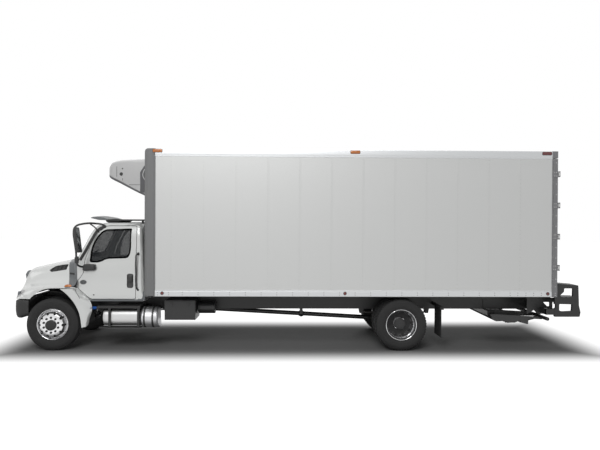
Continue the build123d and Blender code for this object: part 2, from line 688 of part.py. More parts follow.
def dashboard():
    """Dash shelf across the cab with the steering column and wheel."""
    shelf = side_plate(truck_outline([(300, 1400), (300, 1690), (560, 1760), (760, 1700), (720, 1400)]),
                       (-870, 870))
    shelf = shelf & cab_form(CAB_WALL)
    column = bent_rod([(at(700), -480, 1560), (at(880), -480, 1690)], 30)
    rim = Pos(at(890), -480, 1695) * Rot(0, 55, 0) * Torus(215, 16)
    spokes = Pos(at(890), -480, 1695) * Rot(0, 55, 0) * (Box(60, 424, 20) + Box(424, 60, 20))
    return join([shelf, column, spokes, rim])


def seat(y, width):
    """Seat box, cushion and back."""
    base = block((at(1000), at(1420)), (y - width / 2 + 20, y + width / 2 - 20),
                 (CAB_BOTTOM + CAB_WALL, 1330))
    cushion = block((at(960), at(1480)), (y - width / 2, y + width / 2), (1330, 1450))
    back = side_plate(truck_outline([(1400, 1450), (1510, 1450), (1580, 2120), (1490, 2120)]),
                      (y - width / 2, y + width / 2))
    return base + cushion + back


def seats():
    return seat(-480, 520) + seat(420, 820)


def fender_extensions():
    """Fixed rear parts of the front fenders, in front of and below the doors."""
    side_view = [(156, 1186), (250, 1110), (350, 1010), (441, 881), (510, 680), (556, 441), (684, 482),
                 (740, 785),
                 (700, 955), (505, 955), (500, 1010), (452, 1186)]
    plan = [(140, 1192), (400, 1192), (500, 1165), (760, 1072), (760, 1056), (500, 1149), (400, 1176),
            (140, 1176)]
    panel = plan_plate([(at(px), -py) for px, py in plan], (400, 1190)) & side_plate(
        truck_outline(side_view), (-WIDE, 0))
    lip = plan_plate([(at(140), -1192), (at(700), -1192), (at(700), -1110), (at(140), -1110)], (400, 1190))
    arch = side_plate(truck_outline(side_view), (-WIDE, 0)) - side_plate(
        truck_outline([(px + 14, pz + (14 if pz < 1100 else 40)) for px, pz in side_view]), (-WIDE, 0))
    envelope = plan_plate([(at(px), -py) for px, py in plan[:4]] + [(at(760), -1040), (at(140), -1040)],
                          (400, 1190))
    rib = block((at(440), at(470)), (-1185, -1000), (985, 1060)) & envelope
    whole = panel + (arch & lip & envelope) + rib
    rib2 = block((at(440), at(470)), (-1060, -1000), (985, 1060))
    whole = (whole + rib2) - cab_form(0)
    return both_sides(whole)


def cowl_panels():
    """Grey panels between the hood and the cab, with the strip under the windshield."""
    outline = [(HOOD_REAR + 10, 1325), (HOOD_REAR + 70, 1255), (388, 1232), (405, 1300), (392, 1560),
               (372, 1680),
               (HOOD_REAR + 10, 1690)]
    band = side_plate(truck_outline(outline), (-WIDE, WIDE))
    skin = (hood_form(0) - hood_form(HOOD_WALL + 8)) & band
    return skin - cab_form(0)


def roof_blade():
    """Light blade on its base with the flat panel behind it, over the cab's roof."""
    blade = side_plate(truck_outline([(467, 2560), (500, 2582), (700, 2580), (870, 2540), (820, 2500),
                                      (620, 2528)]),
                       (-520, 520))
    base = block((at(940), at(1140)), (-420, 420), (CAB_TOP, 2512))
    panel = block((at(860), at(1600)), (-560, 560), (2512, 2535))
    return base + panel + blade


# ---------------------------------------------------------------- cooling unit
def reefer_housing():
    """Rounded white housing on the box's front wall."""
    side_view = [(927, 3479), (940, 3560), (1010, 3640), (1164, 3678), (1640, 3712), (BOX_FRONT, 3715),
                 (BOX_FRONT, 3260),
                 (1560, 3215), (1010, 3365), (938, 3400)]
    plan = [(900, 700), (960, 830), (1100, 920), (1300, REEFER_HALF_W), (1800, REEFER_HALF_W)]
    loop = [(at(px), py) for px, py in plan] + [(at(px), -py) for px, py in reversed(plan)]
    return side_plate(truck_outline(side_view), (-WIDE, WIDE)) & plan_plate(loop, (3000, 3800))


def reefer_base():
    """Dark lower casing under the housing, and the lines down to the frame."""
    side_view = [(1012, 3362), (1560, 3213), (BOX_FRONT, 3258), (BOX_FRONT, 3050), (1660, 3060), (1200, 3230),
                 (1030, 3320)]
    casing = side_plate(truck_outline(side_view), (-880, 880))
    lines = [rod_along("Z", (at(1775), y), 16, (1010, 3060)) for y in (-760, -700, 640)]
    feet = [block((at(1755), at(BOX_FRONT)), (y - 20, y + 20), (z, z + 50)) for y in (-760, -700, 640)
            for z in (1100, 1800, 2500)]
    return join([casing] + lines + feet)


# ---------------------------------------------------------------- insulated box
def box_x(from_box_front):
    return at(BOX_FRONT + from_box_front)


def box_rails():
    """Corner posts with rounded edges, top rails and bottom rails, one set each side."""
    y = (RAIL_IN, BOX_HALF_W)
    post = block((box_x(0), box_x(POST_W)), y, (BOX_BOTTOM, BOX_TOP))
    corner = post.edges().filter_by(Axis.Z).sort_by(Axis.Y)[-2:].sort_by(Axis.X)[0]
    post = fillet(corner, POST_ROUND)
    bottom = block((box_x(POST_W), box_x(BOX_LENGTH - REAR_FRAME_L)), y, (BOX_BOTTOM, WALL_BOTTOM))
    top = block((box_x(POST_W), box_x(BOX_LENGTH - REAR_FRAME_L)), y, (WALL_TOP, BOX_TOP))
    return both_sides(post + bottom + top)


def box_walls():
    wall = block((box_x(POST_W), box_x(BOX_LENGTH - REAR_FRAME_L)), (RAIL_IN, BOX_HALF_W - SHEET_SETBACK),
                 (WALL_BOTTOM, WALL_TOP))
    return both_sides(wall)


def box_front_wall():
    return block((box_x(0), box_x(FRONT_WALL_T)), (-RAIL_IN, RAIL_IN), (BOX_BOTTOM, BOX_TOP - ROOF_T))


def box_roof():
    return block((box_x(0), box_x(BOX_LENGTH - REAR_FRAME_L)), (-RAIL_IN, RAIL_IN),
                 (BOX_TOP - ROOF_T, BOX_TOP))


def box_floor():
    """Insulated deck on its cross members."""
    start, end = FRONT_WALL_T, BOX_LENGTH - REAR_FRAME_L
    deck = block((box_x(start), box_x(end)), (-RAIL_IN, RAIL_IN), (FLOOR_BOTTOM, FLOOR_TOP))
    members = []
    for index in range(CROSS_MEMBERS):
        middle = start + 60 + (end - start - 120) * index / (CROSS_MEMBERS - 1)
        members.append(block((box_x(middle - CROSS_W / 2), box_x(middle + CROSS_W / 2)), (-RAIL_IN, RAIL_IN),
                             (BOX_BOTTOM, FLOOR_BOTTOM)))
    return join([deck] + members)


def hinge_heights():
    span = CARGO_DOOR_TOP - CARGO_DOOR_BOTTOM
    return [CARGO_DOOR_BOTTOM + span * (index + 0.5) / CARGO_HINGES for index in range(CARGO_HINGES)]


def cargo_axis(side):
    """Hinge axis of a cargo door."""
    return at(BOX_REAR + CARGO_HINGE_BACK), side * CARGO_HINGE_Y


def box_rear_frame():
    """Rear portal around the sunk doors, with the fixed halves of their hinges."""
    x = (box_x(BOX_LENGTH - REAR_FRAME_L), box_x(BOX_LENGTH))
    whole = block(x, (-BOX_HALF_W, BOX_HALF_W), (BOX_BOTTOM, BOX_TOP))
    whole = whole - block((x[0] - 1, x[1] + 1), (-BOX_HALF_W + REAR_POST_W, BOX_HALF_W - REAR_POST_W),
                          (FLOOR_TOP, BOX_TOP - HEADER_H))
    whole = whole - block((x[1] - CARGO_RECESS, x[1] + 1), (-BOX_HALF_W - 1, BOX_HALF_W + 1),
                          (CARGO_DOOR_BOTTOM - 8, CARGO_DOOR_TOP + 10))
    for side in (-1, 1):
        axis_x, axis_y = cargo_axis(side)
        for z in hinge_heights():
            plate_y = sorted((side * BOX_HALF_W, side * (BOX_HALF_W + 8)))
            plate_end = x[1] - 10
            whole = whole + block((x[0], plate_end), plate_y, (z - 55, z + 55))
            for ear in (z - 43.5, z + 43.5):
                ear_z = (ear - 11.5, ear + 11.5)
                whole = whole + block((plate_end - 20, axis_x + 12), plate_y, ear_z)
                whole = whole + block((axis_x - 12, axis_x + 12), sorted((side * BOX_HALF_W, axis_y)), ear_z)
                whole = whole + rod_along("Z", (axis_x, axis_y), 12, ear_z)
            whole = whole + rod_along("Z", (axis_x, axis_y), CARGO_PIN_R, (z - 55, z + 55))
    return whole


def cargo_door(side):
    """Insulated leaf with its hinge straps."""
    axis_x, axis_y = cargo_axis(side)
    back = box_x(BOX_LENGTH)
    front = back - CARGO_DOOR_T
    leaf = block((front, back), sorted((side * CARGO_CENTRE_GAP, side * CARGO_DOOR_EDGE)),
                 (CARGO_DOOR_BOTTOM, CARGO_DOOR_TOP))
    parts = [leaf]
    for z in hinge_heights():
        parts.append(block((back, back + 8),
                           sorted((side * (CARGO_HINGE_Y - 200), side * (CARGO_HINGE_Y + 6))),
                           (z - 28, z + 28)))
        parts.append(block((back, axis_x), sorted((side * (CARGO_HINGE_Y - 12), side * (CARGO_HINGE_Y + 6))),
                           (z - 28, z + 28)))
        parts.append(rod_along("Z", (axis_x, axis_y), 14, (z - 28, z + 28)))
    whole = join(parts)
    return whole - rod_along("Z", (axis_x, axis_y), CARGO_PIN_R + RUN, (CARGO_DOOR_BOTTOM, CARGO_DOOR_TOP))


def cargo_locks(side):
    """Two lock rods with their keepers and handle on a leaf."""
    back = box_x(BOX_LENGTH)
    parts = []
    for y in (side * 260, side * 900):
        parts.append(rod_along("Z", (back + 20, y), 13, (CARGO_DOOR_BOTTOM + 15, CARGO_DOOR_TOP - 15)))
        for z in (CARGO_DOOR_BOTTOM + 80, 1750, 2550, CARGO_DOOR_TOP - 80):
            parts.append(block((back, back + 30), (y - 45, y + 45), (z - 35, z + 35)))
        parts.append(block((back + 12, back + 34), sorted((y, y + side * 230)), (2060, 2095)))
        parts.append(block((back, back + 30), sorted((y + side * 190, y + side * 230)), (2050, 2105)))
    return join(parts)


LAMP_R = 34
SIDE_LAMPS = [322, 3809, 7740]          # from the box's front, low on the rails
TOP_LAMPS = [187, 3995, 7732]           # from the box's front, high on the rails


def marker_lamps():
    """Round lamps on the bottom rails, oblong lamps on the top rails and the rear header."""
    parts = []
    low, high = BOX_BOTTOM + 67, BOX_TOP - 45
    for side in (-1, 1):
        face = side * BOX_HALF_W
        for place in SIDE_LAMPS:
            parts.append(rod_along("Y", (box_x(place), low), LAMP_R, sorted((face, face + side * 10))))
        for place in TOP_LAMPS:
            parts.append(block((box_x(place - 70), box_x(place + 70)), sorted((face, face + side * 12)),
                               (high - 20, high + 20)))
    for y in (-1150, -170, 0, 170, 1150):
        parts.append(block((box_x(BOX_LENGTH), box_x(BOX_LENGTH) + 12), (y - 50, y + 50),
                           (BOX_TOP - 70, BOX_TOP - 30)))
    return join(parts)


# ---------------------------------------------------------------- rear steps and liftgate
def rear_step_frames():
    """Open step frames each side of the rear, on arms from the box sill and the frame."""
    x = (at(BOX_REAR), at(BOX_REAR + STEP_L))
    windows = [((x[0] + 90, x[1] - 150), (STEP_TOP - 262, STEP_TOP - 98)),
               ((x[0] + 90, x[1] - 150), (STEP_BOTTOM + 104, STEP_BOTTOM + 225))]
    y = (STEP_INNER_Y, STEP_OUTER_Y)
    cheek = block(x, (STEP_OUTER_Y - 60, STEP_OUTER_Y), (STEP_BOTTOM, STEP_TOP))
    for wx, wz in windows:
        cheek = cheek - block(wx, (STEP_OUTER_Y - 61, STEP_OUTER_Y + 1), wz)
    inner = block(x, (STEP_INNER_Y, STEP_INNER_Y + 12), (STEP_BOTTOM, STEP_TOP))
    for wx, wz in windows:
        inner = inner - block(wx, (STEP_INNER_Y - 1, STEP_INNER_Y + 13), wz)
    treads = [block((x[0] + 20, x[1]), y, (STEP_TOP - 40, STEP_TOP)),
              block((x[0] + 90, x[1]), y, (STEP_BOTTOM + 225, STEP_BOTTOM + 262)),
              block((x[0], x[1]), y, (STEP_BOTTOM, STEP_BOTTOM + 50))]
    side = join([cheek, inner] + treads)
    arm_x = (at(FRAME_REAR - 90), at(FRAME_REAR - 30))
    arm_z = (STEP_BOTTOM + 40, STEP_BOTTOM + 140)
    beam = block(arm_x, (FRAME_Y, STEP_OUTER_Y), arm_z)
    arm = block((arm_x[0], x[0]), (STEP_OUTER_Y - 60, STEP_OUTER_Y), arm_z)
    hanger_plate = block(arm_x, (FRAME_Y, FRAME_Y + 60), (arm_z[0], FRAME_TOP))
    return both_sides(join([side, arm, beam, hanger_plate]))


def liftgate_mount():
    """Cross tube and brackets under the frame's rear, with the pins of the lift arms, and the pump box."""
    x, z = at(LIFT_PIVOT[0]), LIFT_PIVOT[1]
    tube = block((x - 130, x - 70), (-700, 700), (z - 46, z + 46))
    parts = [tube]
    for side in (-1, 1):
        for y in (LIFT_ARM_Y - 52, LIFT_ARM_Y + 40):
            parts.append(block((x - 130, x + 40), sorted((side * y, side * (y + 12))), (z - 46, z + 46)))
        parts.append(rod_along("Y", (x, z), LIFT_PIN_R,
                               sorted((side * (LIFT_ARM_Y - 52), side * (LIFT_ARM_Y + 52)))))
        parts.append(block((x - 130, x - 70), sorted((side * FRAME_Y, side * (FRAME_Y + 14))),
                           (z - 46, FRAME_TOP - 60)))
    return join(parts)


def liftgate_arms():
    """Two lift arms joined by the cross tube at their tips."""
    (px, pz), (tx, tz) = LIFT_PIVOT, LIFT_TIP
    parts = []
    for side in (-1, 1):
        y = sorted((side * (LIFT_ARM_Y - 34), side * (LIFT_ARM_Y + 34)))
        parts.append(side_plate(truck_outline([(px - 10, pz - 45), (px - 10, pz + 45), (tx, tz + 35),
                                               (tx + 30, tz),
                                               (tx, tz - 35)]), y))
        parts.append(rod_along("Y", (at(px), pz), 50, y))
    parts.append(rod_along("Y", (at(tx), tz), 35, (-1180, 1180)))
    whole = join(parts)
    return whole - rod_along("Y", (at(px), pz), LIFT_PIN_R + RUN, (-700, 700))


def liftgate_platform():
    """Folded platform stowed under the arms, hung on the tip tube by its eyes."""
    tx, tz = LIFT_TIP
    slab = side_plate(truck_outline([(tx + 30, tz - 72), (tx - PLATFORM_L, tz - 86),
                                     (tx - PLATFORM_L, tz - 120),
                                     (tx - PLATFORM_L + 300, tz - 150), (tx - 60, tz - 150),
                                     (tx + 30, tz - 120)]),
                      (-PLATFORM_HALF_W, PLATFORM_HALF_W))
    parts = [slab]
    for side in (-1, 1):
        y = sorted((side * 700, side * 760))
        parts.append(block((at(tx - 50), at(tx + 50)), y, (tz - 80, tz)))
        parts.append(rod_along("Y", (at(tx), tz), 55, y))
    whole = join(parts)
    return whole - rod_along("Y", (at(tx), tz), 35 + RUN, (-1000, 1000))


# ---------------------------------------------------------------- side equipment
TANK_Y = 940                    # centre of the fuel tanks
TANK_R = 162
TANK_Z = 625


def fuel_tanks():
    """Round-cornered fuel tank each side."""
    x = (at(935), at(1650))
    face = Plane.YZ * (Pos(TANK_Y, TANK_Z) * RectangleRounded(360, 2 * TANK_R, 140))
    tank = Pos(x[0], 0, 0) * extrude(face, amount=x[1] - x[0], dir=(1, 0, 0))
    return both_sides(tank)


def tank_brackets():
    """Hangers and straps of the tanks, with the step plates above and below them."""
    parts = []
    for place in (1080, 1600):
        x = (at(place - 22), at(place + 22))
        outer = Plane.YZ * (Pos(TANK_Y, TANK_Z) * RectangleRounded(368, 2 * TANK_R + 8, 144))
        inner = Plane.YZ * (Pos(TANK_Y, TANK_Z) * RectangleRounded(360, 2 * TANK_R, 140))
        strap = Pos(x[0], 0, 0) * extrude(outer - inner, amount=x[1] - x[0], dir=(1, 0, 0))
        hanger_plate = block(x, (FRAME_Y, TANK_Y - 184), (TANK_Z - 60, FRAME_BOTTOM + 160))
        parts += [strap, hanger_plate]
        parts.append(block(x, (FRAME_Y, TANK_Y + 190), (TANK_Z + TANK_R + 4, TANK_Z + TANK_R + 24)))
        parts.append(block(x, (TANK_Y + 184, TANK_Y + 208), (440, TANK_Z + TANK_R + 24)))
    parts.append(block((at(840), at(1660)), (TANK_Y - 40, TANK_Y + 208),
                       (TANK_Z + TANK_R + 24, TANK_Z + TANK_R + 66)))
    parts.append(block((at(880), at(1660)), (TANK_Y + 60, TANK_Y + 208), (430, 452)))
    return both_sides(join(parts))


def exhaust_canister():
    """Large canister behind the driver's tank with its conical outlet and bracket."""
    z, r = 613, 205
    body = rod_along("X", (-930, z), r, (at(1672), at(1975)))
    cone = Pos(at(1975) + 35, -930, z) * Rot(0, 90, 0) * Cone(r, 120, 70)
    bracket = block((at(1790), at(1850)), (-930, -FRAME_Y), (z + 110, z + 170))
    return body + cone + bracket


def side_boxes():
    """Battery box and air tanks hung on the rails behind the cab."""
    parts = []
    for side in (-1, 1):
        box = block((at(2100), at(2700)), sorted((side * FRAME_Y, side * 980)), (560, 940))
        tank = rod_along("X", (side * 640, 760), 120, (at(2720), at(3050)))
        foot = block((at(2860), at(2900)), sorted((side * FRAME_Y, side * 640)), (740, 790))
        parts += [box, tank, foot]
    return join(parts)


def mud_flaps():
    """Hanging flaps behind the rear wheels on their brackets."""
    x = at(REAR_AXLE + 760)
    flap = block((x, x + 14), (760, 1230), (262, 850))
    post = block((x + 14, x + 60), (FRAME_Y, 1230), (800, 850))
    return both_sides(flap + post)


# ---------------------------------------------------------------- the nodes
def rear_tyres(side):
    return tyre(at(REAR_AXLE), side * INNER_DUAL_Y) + tyre(at(REAR_AXLE), side * OUTER_DUAL_Y)


NODES = {
    "frame_rails": frame_rails, "frame_cross_members": frame_cross_members,
    "front_axle": front_axle, "rear_axle": rear_axle, "leaf_springs": leaf_springs,
    "driveline": driveline, "engine": engine, "front_bumper": front_bumper,
    "hood_hinge_plates": hood_hinge_plates, "hood_shell": hood_shell, "hood_grille": hood_grille,
    "hood_lamps": hood_lamps, "tie_rod": tie_rod, "cab_shell": cab_shell, "cab_windows": cab_windows,
    "dashboard": dashboard, "seats": seats, "fender_extensions": fender_extensions,
    "cowl_panels": cowl_panels, "roof_blade": roof_blade, "reefer_housing": reefer_housing,
    "reefer_base": reefer_base, "box_rails": box_rails, "box_walls": box_walls,
    "box_front_wall": box_front_wall, "box_roof": box_roof, "box_floor": box_floor,
    "box_rear_frame": box_rear_frame, "marker_lamps": marker_lamps, "rear_step_frames": rear_step_frames,
    "liftgate_mount": liftgate_mount, "liftgate_arms": liftgate_arms, "liftgate_platform": liftgate_platform,
    "fuel_tanks": fuel_tanks, "tank_brackets": tank_brackets, "exhaust_canister": exhaust_canister,
    "side_boxes": side_boxes, "mud_flaps": mud_flaps}
SIDED_NODES = {
    "knuckle": knuckle, "front_wheel": front_wheel, "rear_wheels": rear_wheels, "door": door,
    "door_glass": door_glass, "mirror": door_mirror, "cargo_door": cargo_door, "cargo_locks": cargo_locks,
    "front_tyre": lambda side: tyre(at(0), side * FRONT_TYRE_Y),
    "rear_tyres": rear_tyres}

MADE_FOR_EACH_SIDE = ("cargo_locks",)


def main():
    os.makedirs("parts", exist_ok=True)
    for name, make in NODES.items():
        export_step(make(), f"parts/{name}.step")
    for name, make in SIDED_NODES.items():
        left = make(-1)
        right = make(1) if name in MADE_FOR_EACH_SIDE else far_side(left)
        export_step(left, f"parts/{name}_left.step")
        export_step(right, f"parts/{name}_right.step")


main()
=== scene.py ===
"""Looks of a refrigerated box truck, built around its packed CAD frame.

Every place is in metres in the truck's own frame: +X to the rear, the driver's side at -Y, +Z up.
Places along the truck are given from the front axle by at().
"""
import math
import random

import bmesh
import bpy
from mathutils import Matrix, Vector
from mathutils.bvhtree import BVHTree


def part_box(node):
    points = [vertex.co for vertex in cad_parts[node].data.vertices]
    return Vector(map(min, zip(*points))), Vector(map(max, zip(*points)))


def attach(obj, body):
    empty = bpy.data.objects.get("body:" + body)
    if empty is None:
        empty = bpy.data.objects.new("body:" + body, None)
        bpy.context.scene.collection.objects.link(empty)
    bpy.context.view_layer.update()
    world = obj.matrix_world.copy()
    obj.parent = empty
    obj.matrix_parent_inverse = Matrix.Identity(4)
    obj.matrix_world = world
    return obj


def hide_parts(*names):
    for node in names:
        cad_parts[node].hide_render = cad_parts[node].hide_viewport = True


bl_info = {
    "name": "Refrigerated Box Truck",
    "version": (1, 0, 0),
    "blender": (4, 5, 0),
    "location": "3D View > Sidebar > Truck",
    "description": "Builds the finished pieces of a refrigerated box truck on its frame",
    "category": "Object",
}

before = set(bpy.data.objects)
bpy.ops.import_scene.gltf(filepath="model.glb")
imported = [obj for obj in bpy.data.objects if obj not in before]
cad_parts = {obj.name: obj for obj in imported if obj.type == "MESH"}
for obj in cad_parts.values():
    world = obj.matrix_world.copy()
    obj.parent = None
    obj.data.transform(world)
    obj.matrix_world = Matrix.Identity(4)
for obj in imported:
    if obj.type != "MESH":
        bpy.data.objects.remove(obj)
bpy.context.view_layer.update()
SIDES = ((-1, "left"), (1, "right"))


def middle(node):
    """Centre of a node's box."""
    low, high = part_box(node)
    return (low + high) / 2


FRONT_AXLE = middle("front_tyre_left").x
REAR_AXLE = middle("rear_tyres_left").x
TYRE_R = middle("front_tyre_left").z
WALL_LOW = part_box("box_walls")[0]


def at(place):
    """Place along the truck, given from the front axle."""
    return FRONT_AXLE + place


# ---------------------------------------------------------------- curves and meshes
def smooth_line(points, steps, closed=False):
    """Points along a smooth curve through the given ones."""
    points = [Vector(p) for p in points]
    count = len(points)
    ring = [points[-1]] + points + points[:2] if closed else (
        [points[0] * 2 - points[1]] + points + [points[-1] * 2 - points[-2]])
    made = []
    for index in range(count if closed else count - 1):
        before, start, end, after = ring[index:index + 4]
        lengths = [max((b - a).length, 1e-6) for a, b in ((before, start), (start, end), (end, after))]
        slopes = [(start - before) / lengths[0], (end - start) / lengths[1], (after - end) / lengths[2]]
        leave = (slopes[0] * lengths[1] + slopes[1] * lengths[0]) / (lengths[0] + lengths[1]) * lengths[1]
        reach = (slopes[1] * lengths[2] + slopes[2] * lengths[1]) / (lengths[1] + lengths[2]) * lengths[1]
        for step in range(steps):
            t = step / steps
            made.append(start * (2 * t**3 - 3 * t**2 + 1) + leave * (t**3 - 2 * t**2 + t)
                        + end * (3 * t**2 - 2 * t**3) + reach * (t**3 - t**2))
    return made if closed else made + [points[-1]]


def smooth_rows(rows, along, across):
    """Grid of points through rows of control points, smoothed both ways."""
    wide = [smooth_line(row, along) for row in rows]
    columns = [smooth_line([row[c] for row in wide], across) for c in range(len(wide[0]))]
    return [[column[r] for column in columns] for r in range(len(columns[0]))]


def rounded(points, radius, steps=6):
    """Closed outline with each corner rounded; radius is one length or one for each corner."""
    radii = radius if isinstance(radius, (list, tuple)) else [radius] * len(points)
    points = [Vector(p) for p in points]
    made = []
    for index, corner in enumerate(points):
        back = points[index - 1] - corner
        ahead = points[(index + 1) % len(points)] - corner
        reach = min(radii[index], back.length * 0.49, ahead.length * 0.49)
        if reach < 1e-5:
            made.append(corner)
            continue
        start = corner + back.normalized() * reach
        end = corner + ahead.normalized() * reach
        for step in range(steps + 1):
            t = step / steps
            made.append(start * (1 - t)**2 + corner * 2 * t * (1 - t) + end * t**2)
    return made


def mirrored(points):
    """Half outline in Y and Z, closed by its other half across the truck."""
    return [(-y, z) for y, z in points] + [(y, z) for y, z in reversed(points)]


class Form:
    """Points and faces of a mesh in the making."""

    def __init__(self):
        self.points, self.faces = [], []

    def add(self, points, faces):
        start = len(self.points)
        self.points += [Vector(p) for p in points]
        self.faces += [[start + corner for corner in face] for face in faces]
        return self

    def skin(self, rows, closed=False, ends=False):
        """Quads between rows of points; closed joins each row's ends, ends caps the first and last row."""
        count = len(rows[0])
        faces = []
        for row in range(len(rows) - 1):
            for column in range(count if closed else count - 1):
                beside = (column + 1) % count
                faces.append((row * count + column, row * count + beside,
                              (row + 1) * count + beside, (row + 1) * count + column))
        if ends:
            faces.append(tuple(range(count - 1, -1, -1)))
            faces.append(tuple(range((len(rows) - 1) * count, len(rows) * count)))
        return self.add([point for row in rows for point in row], faces)

    def box(self, x, y, z):
        """Block between two places along the truck, two across it and two heights."""
        x = at(x[0]), at(x[1])
        ring = [(x[0], y[0]), (x[1], y[0]), (x[1], y[1]), (x[0], y[1])]
        return self.skin([[(px, py, height) for px, py in ring] for height in z], closed=True, ends=True)

    def prism(self, outline, axis, span):
        """Outline of two coordinates carried along the third axis, from span[0] to span[1]."""
        slot = "XYZ".index(axis)
        return self.skin([[[*p[:slot], depth, *p[slot:]] for p in outline] for depth in span], closed=True, ends=True)

    def rod(self, start, end, radius, sides=16, tip=None):
        """Round bar; tip is the radius at its far end."""
        start, end = Vector(start), Vector(end)
        turn = (end - start).to_track_quat("Z", "Y")
        ring = [turn @ Vector((math.cos(a), math.sin(a), 0)) for a in circle(sides)]
        reach = radius if tip is None else tip
        return self.skin([[start + p * radius for p in ring], [end + p * reach for p in ring]],
                         closed=True, ends=True)

    def pipe(self, points, radius, sides=10):
        """Round tube that follows points; radius is one length or one for each point."""
        points = [Vector(p) for p in points]
        radii = radius if isinstance(radius, list) else [radius] * len(points)
        rows, up = [], None
        for index, point in enumerate(points):
            ahead = points[min(index + 1, len(points) - 1)] - points[max(index - 1, 0)]
            ahead.normalize()
            if up is None:
                up = ahead.orthogonal().normalized()
            up = (up - ahead * up.dot(ahead)).normalized()
            side = ahead.cross(up)
            rows.append([point + (up * math.cos(a) + side * math.sin(a)) * radii[index] for a in circle(sides)])
        return self.skin(rows, closed=True, ends=True)

    def turn(self, profile, centre, steps=48, axis="Y", reach=None):
        """Profile of (offset along the axis, radius) turned about the axis through centre."""
        centre = Vector(centre)
        slot = "XY".index(axis)
        rows = []
        for step, a in enumerate(circle(steps)):
            row = []
            for offset, radius in profile:
                grown = radius + (reach(offset, radius, step) if reach else 0.0)
                spot = [math.cos(a) * grown, math.sin(a) * grown]
                spot.insert(slot, offset)
                row.append(centre + Vector(spot))
            rows.append(row)
        return self.skin(rows + rows[:1])

    def dome(self, centre, normal, radius, height, sides=8):
        """Low round head, such as a rivet or a lens, with its base on centre."""
        centre = Vector(centre)
        turn = Vector(normal).normalized().to_track_quat("Z", "Y")
        return self.skin([[centre + turn @ Vector((math.cos(a) * radius * share, math.sin(a) * radius * share,
                                                   rise * height)) for a in circle(sides)]
                          for share, rise in ((1.0, 0.0), (0.86, 0.62), (0.45, 0.94))], closed=True, ends=True)

    def flipped(self):
        """The other side's copy, mirrored across the truck."""
        return Form().add([(p.x, -p.y, p.z) for p in self.points], [face[::-1] for face in self.faces])

    def join(self, other):
        return self.add(other.points, other.faces)


def circle(sides):
    return [2 * math.pi * step / sides for step in range(sides)]


def raw_object(name, form):
    """Plain object of a form, its doubled points welded and its faces turned outwards."""
    mesh = bpy.data.meshes.new(name)
    mesh.from_pydata(form.points, [], form.faces)
    made = bmesh.new()
    made.from_mesh(mesh)
    bmesh.ops.remove_doubles(made, verts=made.verts, dist=1e-5)
    bmesh.ops.dissolve_degenerate(made, edges=made.edges, dist=1e-6)
    bmesh.ops.recalc_face_normals(made, faces=made.faces)
    made.to_mesh(mesh)
    made.free()
    obj = bpy.data.objects.new(name, mesh)
    bpy.context.scene.collection.objects.link(obj)
    return obj


def form_of(obj):
    """The form of a plain object, which is taken away."""
    made = Form().add([v.co for v in obj.data.vertices], [p.vertices for p in obj.data.polygons])
    bpy.data.objects.remove(obj)
    return made


def settle(obj):
    """Applies the object's modifiers to its mesh."""
    bpy.context.view_layer.update()
    shaped = obj.evaluated_get(bpy.context.evaluated_depsgraph_get())
    mesh = bpy.data.meshes.new_from_object(shaped)
    obj.modifiers.clear()
    obj.data = mesh
    return obj


def cut(obj, tool, operation="DIFFERENCE"):
    """Takes a form or an object away from the object, or keeps only what lies in it."""
    cutter = raw_object("tool", tool) if isinstance(tool, Form) else tool
    step = obj.modifiers.new("cut", "BOOLEAN")
    step.operation, step.object, step.solver = operation, cutter, "EXACT"
    settle(obj)
    bpy.data.objects.remove(cutter)
    return obj


def soften(obj, width, angle):
    """Rounds the edges that are sharper than angle."""
    edge = obj.modifiers.new("edge", "BEVEL")
    edge.width, edge.segments, edge.limit_method = width, 2, "ANGLE"
    edge.angle_limit, edge.harden_normals = math.radians(angle), True


def finish(obj, body, slot, looks=None, replaces=(), bevel=0.0, crease=35):
    """Gives a piece its body, its finishes by name (the slot's own if none are named), smooth shading and softened
    edges, and hides the nodes it stands for."""
    mesh = obj.data
    looks = looks or slot
    materials = finishes(*([looks] if isinstance(looks, str) else looks))
    if list(mesh.materials) != materials:
        mesh.materials.clear()
        for material in materials:
            mesh.materials.append(material)
    mesh.shade_smooth()
    mesh.set_sharp_from_angle(angle=math.radians(crease))
    if bevel:
        soften(obj, bevel, 35)
    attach(obj, body)
    if replaces:
        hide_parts(*replaces)
    return obj


def piece(name, form, *said, **more):
    return finish(raw_object(name, form), *said, **more)


# ---------------------------------------------------------------- finishes
class Value:
    """Output of a shader node; sums on it add Math nodes."""

    def __init__(self, finish, socket):
        self.finish, self.socket = finish, socket

    def calc(self, operation, other=0.0):
        return self.finish.node("Math", {"operation": operation}, {0: self, 1: other})

    def __add__(self, other):
        return self.calc("ADD", other)

    def __sub__(self, other):
        return self.calc("SUBTRACT", other)

    def __mul__(self, other):
        return self.calc("MULTIPLY", other)

    def __truediv__(self, other):
        return self.calc("DIVIDE", other)

    def __mod__(self, other):
        return self.calc("FLOORED_MODULO", other)

    def __abs__(self):
        return self.calc("ABSOLUTE")


